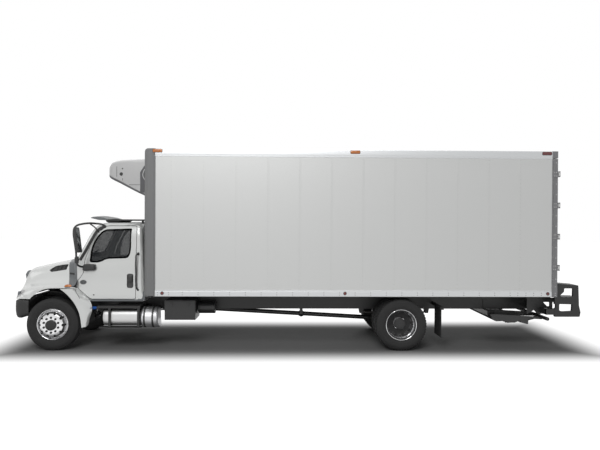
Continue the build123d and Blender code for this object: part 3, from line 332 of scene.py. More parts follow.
class Finish:
    """A material of one paint, metal, rubber or plastic."""

    def __init__(self, name, colour, roughness=0.5, **sockets):
        self.material = bpy.data.materials.new(name)
        self.material.use_nodes = True
        self.tree = self.material.node_tree
        self.shader = self.tree.nodes["Principled BSDF"]
        self.colour = (*colour[:3], 1.0)
        self.roughness = roughness
        self.normal = None
        for socket, value in sockets.items():
            self.shader.inputs[socket.replace("_", " ")].default_value = value
        self.place = self.node("TexCoord", output="Object")
        parts = self.node("SeparateXYZ", inputs={0: self.place})
        self.x, self.y, self.z = (Value(self, parts.socket.node.outputs[index]) for index in range(3))

    def node(self, kind, settings=None, inputs=None, output=0):
        """Adds a shader node: its settings first, then its sockets' values or links."""
        made = self.tree.nodes.new("ShaderNode" + kind)
        for key, value in (settings or {}).items():
            setattr(made, key, value)
        for key, value in (inputs or {}).items():
            if isinstance(value, Value):
                self.tree.links.new(value.socket, made.inputs[key])
            else:
                made.inputs[key].default_value = value
        return Value(self, made.outputs[output])

    def noise(self, scale, detail=3.0, stretch=None):
        """Soft noise, about 0.5 in the middle; stretch scales it along each axis."""
        place = self.place
        if stretch:
            place = self.node("VectorMath", {"operation": "MULTIPLY"}, {0: place, 1: stretch})
        return self.node("TexNoise", {}, {"Vector": place, "Scale": scale, "Detail": detail}, "Fac")

    def span(self, value, low, high):
        """0 below low to 1 above high."""
        return self.node("MapRange", {"clamp": True, "interpolation_type": "SMOOTHSTEP"},
                         {"Value": value, "From Min": low, "From Max": high})

    def mix(self, mask, colour, blend="MIX"):
        """Lays a colour over the present one where mask is 1."""
        colour = colour if isinstance(colour, Value) else (*colour[:3], 1.0)
        self.colour = self.node("Mix", {"data_type": "RGBA", "blend_type": blend},
                                {0: mask, 6: self.colour, 7: colour}, 2)
        return self

    def tone(self, value, low, high):
        """Lightens and darkens the present colour between the factors low and high."""
        grey = self.node("MapRange", {}, {"Value": value, "To Min": low, "To Max": high})
        return self.mix(1.0, self.node("CombineColor", {}, {0: grey, 1: grey, 2: grey}), "MULTIPLY")

    def rough(self, mask, amount):
        """Moves the roughness by amount where mask is 1."""
        self.roughness = mask * amount + self.roughness
        return self

    def bump(self, height, distance, strength=1.0):
        """Raises the surface by height times distance."""
        inputs = {"Height": height, "Distance": distance, "Strength": strength}
        if self.normal:
            inputs["Normal"] = self.normal
        self.normal = self.node("Bump", {}, inputs, "Normal")
        return self

    def ribs(self, value, waves):
        """Even ribs, 0 to 1, that many radians to the metre along value."""
        return (value * waves).calc("SINE") * 0.5 + 0.5

    def dust(self, colour, low, high, amount):
        """Darkening towards a colour, thick at height low and gone at height high: road dust, and on the cab's white
        paint also painted shade low down.
        """
        return self.mix(self.span(self.z, high, low) * self.noise(7.0, 5.0) * amount, colour)

    def done(self):
        for socket, value in (("Base Color", self.colour), ("Roughness", self.roughness), ("Normal", self.normal)):
            if isinstance(value, Value):
                self.tree.links.new(value.socket, self.shader.inputs[socket])
            elif value is not None:
                self.shader.inputs[socket].default_value = value
        return self.material


# dust colour; low on the cab's white paint it is also the colour of painted shade
DUST_AND_SHADE = (0.31, 0.295, 0.27)
BLACK = (0.004, 0.004, 0.0043)


def painted(name, colour, roughness, ripple=0.0, dirt_and_shade=0.0):
    """Gloss paint over sheet metal: faint mottling, soft ripple and a dust-coloured darkening low down, which on the
    cab's white paint is painted shade.
    """
    made = Finish(name, colour, roughness, Coat_Weight=0.35, Coat_Roughness=0.12)
    made.tone(made.noise(2.2, 4.0), 0.965, 1.02)
    made.dust(DUST_AND_SHADE, 0.5, 1.5, dirt_and_shade)
    made.rough(made.noise(18.0), 0.14)
    made.bump(made.noise(140.0, 1.0), 0.00012)
    return made.bump(made.noise(2.6, 1.0), ripple) if ripple else made


def metal(name, colour, roughness, metallic, brushed, wear):
    """Bare metal: fine drawn lines along the axis where brushed is small, and dull stains."""
    made = Finish(name, colour, roughness, Metallic=metallic)
    lines = made.noise(160.0, 2.0, brushed)
    made.tone(lines, 0.9, 1.06)
    made.mix(made.span(made.noise(5.0, 5.0), 0.52, 0.72) * wear, (0.30, 0.29, 0.27))
    made.rough(made.noise(30.0, 3.0), 0.18)
    return made.bump(lines, 0.0001)


def coated(name, colour, roughness, dirt_and_shade, rust, grain=0.0004):
    """Hard-worn chassis paint: road film, dust on what lies low, and a little rust."""
    made = Finish(name, colour, roughness, Specular_IOR_Level=0.03)
    made.tone(made.noise(9.0, 5.0), 0.75, 1.3)
    made.mix(made.span(made.noise(11.0, 6.0), 0.55, 0.72) * rust, (0.16, 0.075, 0.035))
    made.dust(DUST_AND_SHADE, 0.2, 1.3, dirt_and_shade)
    made.rough(made.noise(25.0, 4.0), 0.22)
    return made.bump(made.noise(220.0, 3.0), grain)


def moulded(name, colour, roughness, grain=0.0003, dirt_and_shade=0.01, coat=0.0):
    """Moulded plastic with a leathery grain."""
    made = Finish(name, colour, roughness, Specular_IOR_Level=0.03, Coat_Weight=coat)
    cells = made.node("TexVoronoi", {"feature": "DISTANCE_TO_EDGE"}, {"Vector": made.place, "Scale": 260.0})
    made.tone(made.noise(6.0, 4.0), 0.88, 1.1)
    made.dust(DUST_AND_SHADE, 0.4, 1.5, dirt_and_shade)
    made.rough(made.noise(20.0), 0.12)
    return made.bump(made.span(cells, 0.0, 0.25), grain)


def rubber(name, colour, dusty):
    made = Finish(name, colour, 0.66, Specular_IOR_Level=0.02)
    made.tone(made.noise(14.0, 5.0), 0.8, 1.25)
    made.mix(made.span(made.noise(3.5, 6.0), 0.42, 0.7) * dusty, (0.07, 0.066, 0.062))
    made.rough(made.noise(30.0, 3.0), 0.2)
    return made.bump(made.noise(300.0, 2.0), 0.0003)


def glass(name, colour, alpha):
    """Tinted pane with a faint film of dust."""
    made = Finish(name, colour, 0.03, Alpha=alpha, Specular_IOR_Level=0.10)
    made.mix(made.span(made.noise(5.0, 6.0), 0.5, 0.75) * 0.05, DUST_AND_SHADE)
    made.rough(made.span(made.noise(9.0, 4.0), 0.5, 0.8), 0.06)
    return made.bump(made.noise(1.5, 1.0), 0.002)


def lens(name, colour, glow):
    """Moulded lens with fine ribs across it."""
    made = Finish(name, colour, 0.12, Coat_Weight=0.6, Coat_Roughness=0.03,
                  Emission_Color=(*colour, 1.0), Emission_Strength=glow)
    ribs = made.ribs(made.x + made.y, 700.0)
    return made.tone(ribs, 0.8, 1.15).bump(ribs, 0.0004)


def white_paint(name):
    # the cab's paint darkens by 0.25 below 1.5 m: painted shade low on the doors, hood and fenders
    return painted(name, paints().cab, 0.24, 0.0012, 0.25)


def reefer_white(name):
    return painted(name, paints().reefer, 0.32, 0.0006)


def box_sheet(name):
    """Side sheet: each panel a little different, slightly quilted, with streaks that run down."""
    made = painted(name, paints().box, 0.33)
    panel = (made.x - (WALL_LOW.x - 0.3)) / box_sizes().panel
    shade = made.node("TexWhiteNoise", {"noise_dimensions": "1D"}, {"W": panel.calc("FLOOR")}, "Value")
    made.tone(shade, 0.985, 1.012)
    streaks = made.noise(3.0, 6.0, (5.0, 1.0, 0.22))
    made.mix(made.span(streaks, 0.55, 0.75) * 0.10, (0.45, 0.44, 0.41))
    made.mix(made.span(made.z, 1.5, WALL_LOW.z) * made.noise(6.0, 5.0) * 0.22, DUST_AND_SHADE)
    made.bump(made.noise(1.7, 2.0, (1.0, 1.0, 0.55)), 0.006)
    return made.bump(abs(panel % 1.0 - 0.5) * -1.0, 0.005)


def roof_sheet(name):
    made = painted(name, (0.62, 0.62, 0.60), 0.45, 0.002)
    return made.mix(made.span(made.noise(3.0, 6.0), 0.5, 0.7) * 0.3, DUST_AND_SHADE)


def rail_aluminium(name):
    """Rails with streaks, a darker film towards the front and a dark lip on top."""
    made = metal(name, (0.50, 0.515, 0.53), 0.36, 0.62, (0.02, 1.0, 0.6), 0.35)
    made.mix(made.span(made.noise(4.0, 5.0, (6.0, 1.0, 0.3)), 0.56, 0.7) * 0.3, (0.26, 0.255, 0.24))
    low = made.span(made.z, 1.15, 1.09) * 0.15 + 0.68
    made.mix(made.span(made.x, at(7.6), at(5.2)) * low, (0.11, 0.11, 0.112))
    return made.mix(made.span(made.z, 3.846, 3.854) * 0.9, (0.03, 0.03, 0.03))


def seat_cloth(name):
    """Woven cloth: two crossed threads, lighter at their crowns and darker between them, a painted highlight and
    painted shade of the weave.
    """
    made = Finish(name, (0.075, 0.077, 0.085), 0.85, Sheen_Weight=0.3)
    weft, warp = (made.ribs(value + made.x, 900.0) for value in (made.y, made.z))
    # painted highlight on the threads' crowns, painted shade between them
    made.tone(weft * warp, 0.75, 1.35)
    made.mix(made.span(made.noise(4.0, 5.0), 0.5, 0.7) * 0.15, (0.15, 0.14, 0.13))
    return made.bump(weft + warp, 0.0004)


def headlamp_lens(name):
    """Clear cover over the lamp's reflector."""
    made = Finish(name, (0.055, 0.06, 0.065), 0.25, Alpha=0.7, Specular_IOR_Level=0.10)
    return made.tone(made.noise(12.0, 2.0), 0.92, 1.05).bump(made.ribs(made.z, 330.0), 0.0002)


EVEN, ALONG, UPRIGHT, ROUND = (1.0, 1.0, 1.0), (0.05, 1.0, 1.0), (1.0, 1.0, 0.05), (1.0, 0.06, 0.06)
LOOKS = {  # finish: its maker, then what that takes after the name
    "white_paint": (white_paint,), "reefer_white": (reefer_white,), "box_sheet": (box_sheet,),
    "roof_sheet": (roof_sheet,), "rivet_metal": (painted, (0.42, 0.43, 0.43), 0.35),
    "rail_aluminium": (rail_aluminium,),
    "post_aluminium": (metal, (0.27, 0.272, 0.275), 0.5, 0.1, UPRIGHT, 0.2),
    "polished_alloy": (metal, (0.40, 0.403, 0.41), 0.42, 0.40, EVEN, 0.05),
    "tank_aluminium": (metal, (0.56, 0.57, 0.58), 0.27, 0.85, ALONG, 0.12),
    "canister_metal": (metal, (0.50, 0.505, 0.51), 0.55, 0.12, ROUND, 0.2),
    "floor_aluminium": (metal, (0.5, 0.51, 0.52), 0.38, 0.8, (0.04, 1.0, 1.0), 0.3),
    "lock_steel": (metal, (0.46, 0.47, 0.48), 0.34, 0.8, (1.0, 1.0, 0.04), 0.25),
    "chrome": (metal, (0.78, 0.79, 0.80), 0.07, 1.0, EVEN, 0.03),
    "mirror_glass": (metal, (0.16, 0.17, 0.18), 0.06, 1.0, EVEN, 0.02),
    "dull_bolt": (metal, (0.16, 0.16, 0.16), 0.45, 0.5, EVEN, 0.3),
    "black_frame": (coated, BLACK, 0.42, 0.015, 0.04),
    "lift_steel": (coated, BLACK, 0.5, 0.015, 0.05),
    "black_steel": (coated, (0.0045, 0.0045, 0.0048), 0.35, 0.015, 0.03),
    "spring_steel": (coated, (0.016, 0.015, 0.014), 0.5, 0.05, 0.2),
    "shaft_steel": (coated, (0.018, 0.018, 0.018), 0.45, 0.04, 0.15),
    "engine_grey": (coated, (0.05, 0.05, 0.052), 0.55, 0.04, 0.1, 0.0012),
    "rear_steel": (coated, (0.048, 0.050, 0.054), 0.38, 0.03, 0.03),
    "black_plastic": (moulded, BLACK, 0.42),
    "grey_plastic": (moulded, (0.21, 0.215, 0.225), 0.45, 0.0002),
    "light_grey": (moulded, (0.60, 0.61, 0.61), 0.3, 0.0001, 0.05, 0.3),
    "reefer_grey": (moulded, (0.075, 0.078, 0.085), 0.5, 0.0003, 0.0),
    "interior_grey": (moulded, (0.085, 0.085, 0.088), 0.62, 0.0005, 0.0),
    "blue_plastic": (moulded, (0.03, 0.12, 0.45), 0.4, 0.0001),
    "blank_plate": (moulded, (0.22, 0.225, 0.23), 0.35, 0.00005, 0.1),
    "tyre_rubber": (rubber, (0.0055, 0.0055, 0.0058), 0.06),
    "flap_rubber": (rubber, BLACK, 0.05), "seal_rubber": (rubber, BLACK, 0.02),
    "seat_cloth": (seat_cloth,), "tinted_glass": (glass, (0.007, 0.012, 0.0115), 0.975),
    "red_lens": (lens, (0.20, 0.010, 0.010), 0.0), "amber_lens": (lens, (0.72, 0.20, 0.015), 0.05),
    "headlamp_lens": (headlamp_lens,)}


def finishes(*names):
    """Materials by name, each made when it is first asked for."""
    return [bpy.data.materials.get(name) or LOOKS[name][0](name, *LOOKS[name][1:]).done() for name in names]


# ---------------------------------------------------------------- sizes and colours a user may change
def colour(name, value):
    return bpy.props.FloatVectorProperty(name=name, description=f"Colour of the {name.lower()}",
                                         subtype="COLOR", size=3, min=0.0, max=1.0, default=value)


def length(name, description, value):
    return bpy.props.FloatProperty(name=name, description=description, unit="LENGTH", min=0.0,
                                   precision=4, default=value)


class TruckPaints(bpy.types.PropertyGroup):
    """Colours of the painted panels."""
    cab: colour("Cab", (0.77, 0.78, 0.775))
    box: colour("Box sheet", (0.655, 0.665, 0.66))
    reefer: colour("Cooling unit", (0.84, 0.845, 0.83))
    floor: colour("Studio floor", (0.40, 0.40, 0.40))


class TruckBox(bpy.types.PropertyGroup):
    """Sizes on the insulated box."""
    panel: length("Panel", "Width of a side panel between seams", 0.6096)
    first_seam: length("First seam", "From the front axle to the first seam", 2.284)
    rivet: length("Rivet pitch", "Spacing of the rivets along a seam", 0.075)
    rivet_radius: length("Rivet radius", "Radius of a rivet's head", 0.0048)
    bolt: length("Bolt pitch", "Spacing of the bolts along the bottom rail", 0.3048)


class TruckWheels(bpy.types.PropertyGroup):
    """Sizes on the tyres and wheels."""
    groove: length("Groove depth", "Depth of the tread's grooves", 0.013)
    nut: length("Nut size", "Across the flats of a wheel nut", 0.033)
    lugs: bpy.props.IntProperty(name="Tread blocks", description="Blocks round a drive tyre",
                                min=24, max=90, default=56)


class TruckStudio(bpy.types.PropertyGroup):
    """Strength of the light."""
    world: bpy.props.FloatProperty(name="World", description="Strength of the surrounding light",
                                   min=0.0, default=0.16)
    key: bpy.props.FloatProperty(name="Key lamp", description="Power of the key lamp in watts",
                                 min=0.0, default=920.0)


SETTINGS = {"truck_paints": TruckPaints, "truck_box": TruckBox, "truck_wheels": TruckWheels,
            "truck_studio": TruckStudio}


def paints():
    return bpy.context.scene.truck_paints


def box_sizes():
    return bpy.context.scene.truck_box


def wheel_sizes():
    return bpy.context.scene.truck_wheels


# ---------------------------------------------------------------- shapes shared by the body panels
SKIN = 0.012                    # thickness of a body panel
BODY_SPAN = (-1.6, 1.6)         # beyond both sides of the truck
CORNERS = (-1, -1), (1, -1), (1, 1), (-1, 1)


def side_outline(points):
    """Outline seen from the side, given from the front axle."""
    return [(at(x), z) for x, z in points]


def through_side(points, span=BODY_SPAN):
    """Prism of a side outline across the truck."""
    return Form().prism(side_outline(points), "Y", span)


def one_side(side, near, far):
    """Two distances from the centre line on one side, in order."""
    return sorted((side * near, side * far))


def through_front(points, span):
    """Prism of an outline in Y and Z along the truck."""
    return Form().prism(points, "X", (at(span[0]), at(span[1])))


def tree_of(obj):
    """Search tree of an object's faces, to set things on its surface."""
    made = bmesh.new()
    made.from_mesh(obj.data)
    tree = BVHTree.FromBMesh(made)
    made.free()
    return tree


def land(tree, start, aim):
    """Place and outward normal where a ray meets a surface."""
    place, normal, _, _ = tree.ray_cast(Vector(start), Vector(aim).normalized())
    if place is None:
        raise RuntimeError(f"nothing is met from {tuple(start)}")
    return place, normal if normal.dot(Vector(aim)) < 0 else -normal


def laid(tree, path, aim, start):
    """Points of a path moved along aim onto a surface; start is how far back the rays begin."""
    aim = Vector(aim).normalized()
    return [land(tree, Vector(p) - aim * start, aim) for p in path]


def strip_on(tree, path, aim, start, width, height, closed=False):
    """Flat raised strip that follows a path laid on a surface."""
    made = Form()
    spots = laid(tree, path, aim, start)
    rows = []
    count = len(spots)
    for index, (place, normal) in enumerate(spots):
        ahead = spots[(index + 1) % count if closed else min(index + 1, count - 1)][0]
        back = spots[index - 1 if closed or index else 0][0]
        along = (ahead - back).normalized()
        side = along.cross(normal).normalized() * width / 2
        low, top = normal * -0.003, normal * height
        rows.append([place - side + low, place - side * 0.9 + top * 0.75, place - side * 0.6 + top,
                     place + side * 0.6 + top, place + side * 0.9 + top * 0.75, place + side + low])
    if closed:
        rows.append(rows[0])
        return made.skin(rows, closed=True)
    return made.skin(rows, closed=True, ends=True)


def thicken(obj, depth, *names):
    """Gives a skin its thickness, inwards; of two finishes named, the second is the inner face's."""
    for material in finishes(*names):
        obj.data.materials.append(material)
    step = obj.modifiers.new("wall", "SOLIDIFY")
    step.material_offset = 1 if names else 0
    step.thickness, step.offset, step.use_even_offset = depth, -1.0, True
    return settle(obj)


def copy_of(obj, name):
    other = obj.copy()
    other.data = obj.data.copy()
    other.name = name
    bpy.context.scene.collection.objects.link(other)
    return other


def both_halves(row):
    """Row of (place, out, height) from the centre line outwards, with its other half before it."""
    half = [(at(x), y, z) for x, y, z in row]
    return [(x, -y, z) for x, y, z in reversed(half[1:])] + half


def centre_of(spots):
    return sum((p for p, _ in spots), Vector()) / len(spots)


def raised(spots, steps):
    """Rows that rise by steps of (lift, pull towards the middle) from places on a surface."""
    centre = centre_of(spots)
    return [[p + n * lift + (centre - p) * pull for p, n in spots] for lift, pull in steps]


def liner(name, side, body, turns, start, pitch, arcs, room):
    """Dark sheet bent round a front wheel, kept within its room."""
    rows = []
    for turn in range(turns):
        a = math.radians(start - turn * pitch)
        rows.append([(at(math.cos(a) * r), side * y, TYRE_R + math.sin(a) * r) for y, r in arcs])
    obj = thicken(raw_object(name, Form().skin(rows)), 0.005)
    (x0, x1), (z0, z1) = room
    cut(obj, through_side([(x0, z0), (x1, z0), (x1, z1), (x0, z1)]), "INTERSECT")
    finish(obj, body, "black_plastic", "flap_rubber")


# ---------------------------------------------------------------- hood
HOOD_ROWS = [  # (place, out, height) from the centre line to the fender's lower edge, nose first
    [(-.744, 0, .985), (-.744, .25, .985), (-.744, .45, .985), (-.744, .56, .985), (-.750, .67, .985),
     (-.757, .78, .985), (-.757, .88, .985), (-.757, .96, .985), (-.752, 1.02, .985), (-.725, 1.065, .985),
     (-.66, 1.09, .985)],
    [(-.745, 0, 1.10), (-.745, .25, 1.10), (-.745, .45, 1.097), (-.745, .56, 1.094), (-.751, .67, 1.09),
     (-.757, .78, 1.085), (-.754, .88, 1.078), (-.746, .965, 1.06), (-.725, 1.03, 1.035),
     (-.68, 1.075, 1.01), (-.62, 1.095, .985)],
    [(-.746, 0, 1.24), (-.746, .25, 1.237), (-.745, .44, 1.23), (-.744, .56, 1.212), (-.746, .67, 1.18),
     (-.742, .77, 1.15), (-.727, .875, 1.125), (-.70, .98, 1.10), (-.655, 1.045, 1.065),
     (-.60, 1.085, 1.03), (-.555, 1.105, .985)],
    [(-.742, 0, 1.405), (-.741, .24, 1.402), (-.737, .46, 1.392), (-.729, .595, 1.362), (-.721, .67, 1.285),
     (-.708, .765, 1.21), (-.678, .89, 1.168), (-.635, 1.0, 1.135), (-.58, 1.085, 1.095),
     (-.53, 1.12, 1.045), (-.49, 1.13, .985)],
    [(-.705, 0, 1.498), (-.703, .25, 1.494), (-.697, .48, 1.48), (-.685, .625, 1.435), (-.665, .69, 1.34),
     (-.64, .79, 1.235), (-.605, .93, 1.19), (-.55, 1.04, 1.163), (-.49, 1.125, 1.12),
     (-.45, 1.15, 1.06), (-.42, 1.155, .985)],
    [(-.44, 0, 1.592), (-.44, .28, 1.587), (-.44, .54, 1.57), (-.44, .70, 1.512), (-.44, .755, 1.41),
     (-.43, .86, 1.285), (-.41, .99, 1.235), (-.38, 1.09, 1.21), (-.35, 1.16, 1.165),
     (-.33, 1.175, 1.09), (-.32, 1.175, .985)],
    [(-.10, 0, 1.668), (-.10, .30, 1.662), (-.10, .58, 1.643), (-.10, .765, 1.582), (-.10, .825, 1.47),
     (-.10, .92, 1.34), (-.10, 1.03, 1.275), (-.10, 1.115, 1.243), (-.10, 1.172, 1.205),
     (-.10, 1.186, 1.12), (-.10, 1.187, .985)],
    [(.24, 0, 1.735), (.24, .33, 1.73), (.24, .64, 1.707), (.24, .84, 1.642), (.24, .89, 1.53),
     (.24, .965, 1.385), (.24, 1.06, 1.305), (.24, 1.13, 1.265), (.24, 1.178, 1.225), (.24, 1.188, 1.13),
     (.24, 1.188, .985)],
    [(.46, 0, 1.77), (.46, .34, 1.765), (.46, .68, 1.745), (.46, .88, 1.68), (.46, .93, 1.57),
     (.46, .99, 1.42), (.46, 1.07, 1.33), (.46, 1.135, 1.28), (.46, 1.18, 1.235), (.46, 1.19, 1.14),
     (.46, 1.19, .985)]]
ARCH = [(-.439, .80)] + smooth_line([(-.439, .989), (-.35, 1.064), (-.26, 1.129), (-.17, 1.172), (-.071, 1.194),
                                     (.02, 1.199), (.20, 1.199)], 5) + [(.60, 1.199), (.60, .80)]
REAR_EDGE = [(.446, .80), (.446, 1.216), (.37, 1.221), (.332, 1.228), (.305, 1.270), (.279, 1.31), (.243, 1.40),
             (.216, 1.53), (.197, 1.64), (.177, 1.674), (.122, 1.70), (.10, 1.95), (.70, 1.95), (.70, .80)]
LAMP_SIDE = [(-.80, .986), (-.759, .988), (-.66, 1.036), (-.60, 1.082), (-.553, 1.152), (-.69, 1.142), (-.80, 1.13)]
VENT = [(-.212, 1.505), (-.172, 1.540), (-.095, 1.588), (.039, 1.617), (.187, 1.632), (.156, 1.532),
        (.039, 1.512), (-.070, 1.494), (-.165, 1.480)]
LAMP_SPAN = (0.66, 1.3)         # a headlamp's room, from the centre line
GRILLE = [(.405, 1.065), (.425, 1.085), (.53, 1.425), (.505, 1.455)]


def hood_skin(name, inset=0.0):
    """Smooth outer surface of the hood and its fenders, mirrored about the centre line."""
    obj = raw_object(name, Form().skin(smooth_rows([both_halves(row) for row in HOOD_ROWS], 4, 5)))
    if inset:
        obj.data.transform(Matrix.Translation((inset, 0, 0)))
    return obj


def across(points, scale=1.0):
    """Closed outline in Y and Z from its half."""
    return mirrored([(y * scale, z) for y, z in points])


class TRUCK_OT_hood(bpy.types.Operator):
    """Tilting hood with its fenders, grille, headlamps, side vents and marker domes."""
    bl_idname = "truck.hood"
    bl_label = "Hood"

    def execute(self, context):
        bare = hood_skin("bare")
        tree = tree_of(bare)
        shell = thicken(copy_of(bare, "hood_panel"), SKIN, "white_paint", "flap_rubber")
        rooms = [through_side(REAR_EDGE), through_side(ARCH), through_front(across(GRILLE), (-0.9, -0.64))]
        for side in (-1, 1):
            rooms.append(through_side(rounded(LAMP_SIDE, 0.015), one_side(side, *LAMP_SPAN)))
            rooms.append(through_side(rounded(VENT, 0.012), one_side(side, 0.5, 1.0)))
        for room in rooms:
            cut(shell, room)
        finish(shell, "hood", "white_paint", ("white_paint", "flap_rubber"), ("hood_shell",), crease=32)
        for side, name in SIDES:
            self.lamp(bare, side, name)
            self.vent(tree, side, name)
            self.marker(side, name)
            liner(f"wheel_liner_{name}", side, "hood", 15, 178, 8, ((0.66, 0.64), (0.90, 0.645), (1.13, 0.635)),
                  ((-.60, .05), (.40, 1.25)))
        self.grille(tree)
        bpy.data.objects.remove(bare)
        return {"FINISHED"}

    def lamp(self, bare, side, name):
        """Clear cover flush with the skin, a dark bowl and two bright reflectors behind it."""
        span = one_side(side, *LAMP_SPAN)
        cover = thicken(copy_of(bare, f"headlamp_cover_{name}"), 0.004)
        cut(cover, through_side(rounded([(x + 0.002, z) for x, z in LAMP_SIDE], 0.014), span), "INTERSECT")
        finish(cover, "hood", "headlamp_lens", replaces=("hood_lamps",), crease=40)
        bowl = thicken(copy_of(bare, f"headlamp_bowl_{name}"), 0.07)
        cut(bowl, form_of(thicken(copy_of(bare, "skin_off"), 0.022)))
        cut(bowl, through_side(LAMP_SIDE, span), "INTERSECT")
        finish(bowl, "hood", "headlamp_lens", "black_plastic", crease=40)
        form = Form()
        profile = [(0.018, 0.0), (0.017, 0.012), (0.006, 0.028), (-0.012, 0.043), (-0.014, 0.046), (0.03, 0.046)]
        for x, y, z in ((-0.722, 0.90, 1.062), (-0.700, 0.995, 1.075)):
            form.turn(profile, (at(x), side * y, z), 28, axis="X")
        piece(f"headlamp_reflectors_{name}", form, "hood", "headlamp_lens", "mirror_glass")

    def vent(self, tree, side, name):
        """Black louvre in the hood's upper side, set a little under the skin."""
        outline = [(at(x), side * 1.2, z) for x, z in rounded(VENT, 0.012, 4)]
        rim = laid(tree, outline, (0, -side, 0), 0.2)
        form = Form().skin(raised(rim, ((-0.013, -0.002), (0.0035, 0.0), (0.0035, 0.035), (-0.016, 0.06),
                                        (-0.020, 0.10), (-0.020, 0.98))), closed=True)
        for low, top in (((-.07, 1.514), (-.04, 1.588)), ((.01, 1.528), (.035, 1.604)), ((.09, 1.536), (.115, 1.612))):
            ends = laid(tree, [(at(x), side * 1.2, z) for x, z in (low, top)], (0, -side, 0), 0.2)
            form.pipe([p - n * 0.008 for p, n in ends], 0.006, 8)
        piece(f"hood_vent_{name}", form, "hood", "black_plastic", crease=40)

    def marker(self, side, name):
        """Amber dome on its dark base above the wheel arch."""
        x, y, z = at(.297), side * 1.152, 1.222

        def ovals(sizes):
            return Form().skin([[(x + math.cos(a) * long, y + math.sin(a) * wide, z + rise) for a in circle(28)]
                                for long, wide, rise in sizes], closed=True, ends=True)

        dome = ovals([(0.082 * share, 0.036 * share, 0.050 * rise) for share, rise in (
            (1.0, 0.0), (0.98, 0.25), (0.86, 0.58), (0.62, 0.85), (0.3, 0.98))])
        piece(f"marker_dome_{name}", dome, "hood", "lamp_lens", "amber_lens", crease=50)
        base = ovals(((0.086, 0.039, -0.008), (0.086, 0.039, 0.001), (0.083, 0.036, 0.005)))
        piece(f"marker_base_{name}", base, "hood", "black_plastic")

    def grille(self, tree):
        """Grey surround that stands proud of the nose, with bars across a dark mesh."""
        outer = rounded(across([(.450, 1.042), (.485, 1.065), (.625, 1.42), (.585, 1.490)]), 0.05, 5)
        inner = rounded(across([(.37, 1.085), (.39, 1.10), (.487, 1.40), (.465, 1.425)]), 0.045, 5)

        def nose(y, z):
            return land(tree, (at(-1.2), y, z), (1, 0, 0))[0].x

        def face(y, z, reach):
            """Front of the surround: upright to its brow, then laid back."""
            return nose(y, z) * (1 - reach) + at(-.757 + max(0.0, z - 1.41) * 0.36) * reach

        rows = []
        for share, lift, reach in ((0.0, -0.006, 0.0), (0.03, 0.0, 0.8), (0.12, 0.0, 1.0), (0.85, 0.0, 1.0),
                                   (0.97, 0.0, 0.7), (1.0, -0.035, 0.0)):
            ring = [a.lerp(b, share) for a, b in zip(outer, inner)]
            rows.append([(face(p.x, p.y, reach) - lift, p.x, p.y) for p in ring])
        piece("grille_surround", Form().skin(rows, closed=True), "hood", "grey_plastic", crease=50)
        bars = Form()
        section = ((0, 0.013), (-0.006, 0.008), (-0.006, -0.006), (0, -0.012), (0.035, -0.006), (0.035, 0.004))
        for level in range(7):
            z = 1.120 + level * 0.046
            half = 0.405 + (z - 1.06) * 0.27
            bars.skin([[(nose(y, z) + 0.004 + x, y, z + rise) for x, rise in section]
                       for y in (-half, -half * 0.6, 0.0, half * 0.6, half)], closed=True, ends=True)
        for y in (-0.26, 0.0, 0.26):
            bars.pipe([(nose(y, z) + 0.016, y, z) for z in (1.08, 1.2, 1.42)], 0.007, 8)
        piece("grille_bars", bars, "hood", "light_grey", replaces=("hood_grille",), bevel=0.001)
        net = Form()
        for index in range(33):
            y = -0.48 + index * 0.03
            net.pipe([(at(-0.690), y, 1.03), (at(-0.675), y, 1.43)], 0.0022, 4)
        for index in range(14):
            z = 1.04 + index * 0.03
            net.pipe([(at(-0.686), -0.50, z), (at(-0.686), 0.50, z)], 0.0022, 4)
        net.box((-0.672, -0.664), (-0.56, 0.56), (1.0, 1.45))
        piece("grille_mesh", net, "hood", "black_plastic")


# ---------------------------------------------------------------- cab
CAB_LEVELS = [  # height, front at the centre, front at the side, rear, half width at the front, at the rear
    (.934, .400, .420, 1.722, .996, 1.016), (.985, .378, .398, 1.718, 1.012, 1.030),
    (1.25, .355, .378, 1.705, 1.032, 1.042), (1.45, .315, .362, 1.697, 1.025, 1.040),
    (1.62, .275, .345, 1.688, .985, 1.028), (1.70, .275, .350, 1.684, .962, 1.018),
    (1.78, .312, .392, 1.681, .950, 1.010), (2.05, .452, .532, 1.665, .915, .982),
    (2.30, .588, .668, 1.650, .885, .952), (2.375, .640, .730, 1.640, .862, .925),
    (2.428, .712, .805, 1.605, .800, .860), (2.458, .83, .91, 1.54, .66, .72),
    (2.467, .98, 1.02, 1.45, .42, .46)]
DOOR_EDGE = [(.674, .978), (1.548, .978), (1.546, 2.393), (.935, 2.393), (.800, 2.28), (.625, 1.95),
             (.548, 1.72), (.546, 1.481), (.433, 1.315), (.440, 1.189)]
DOOR_ROUND = [.05, .04, .045, .10, .20, .30, .10, .03, .03, .05]
PANE = [(.645, 1.686), (.842, 1.682), (.970, 1.757), (1.400, 1.772), (1.443, 1.900), (1.451, 2.345), (.900, 2.325),
        (.763, 2.178), (.668, 1.983)]
PANE_ROUND = [.045, .10, .12, .10, .12, .02, .10, .20, .20]
SHIELD = [(.795, 1.792), (.742, 2.312)]
REAR_PANE = [(.56, 1.79), (.56, 2.20)]
SHIELD_SPAN, REAR_SPAN = (0.0, 1.1), (1.5, 1.8)     # rooms of the two panes along the cab


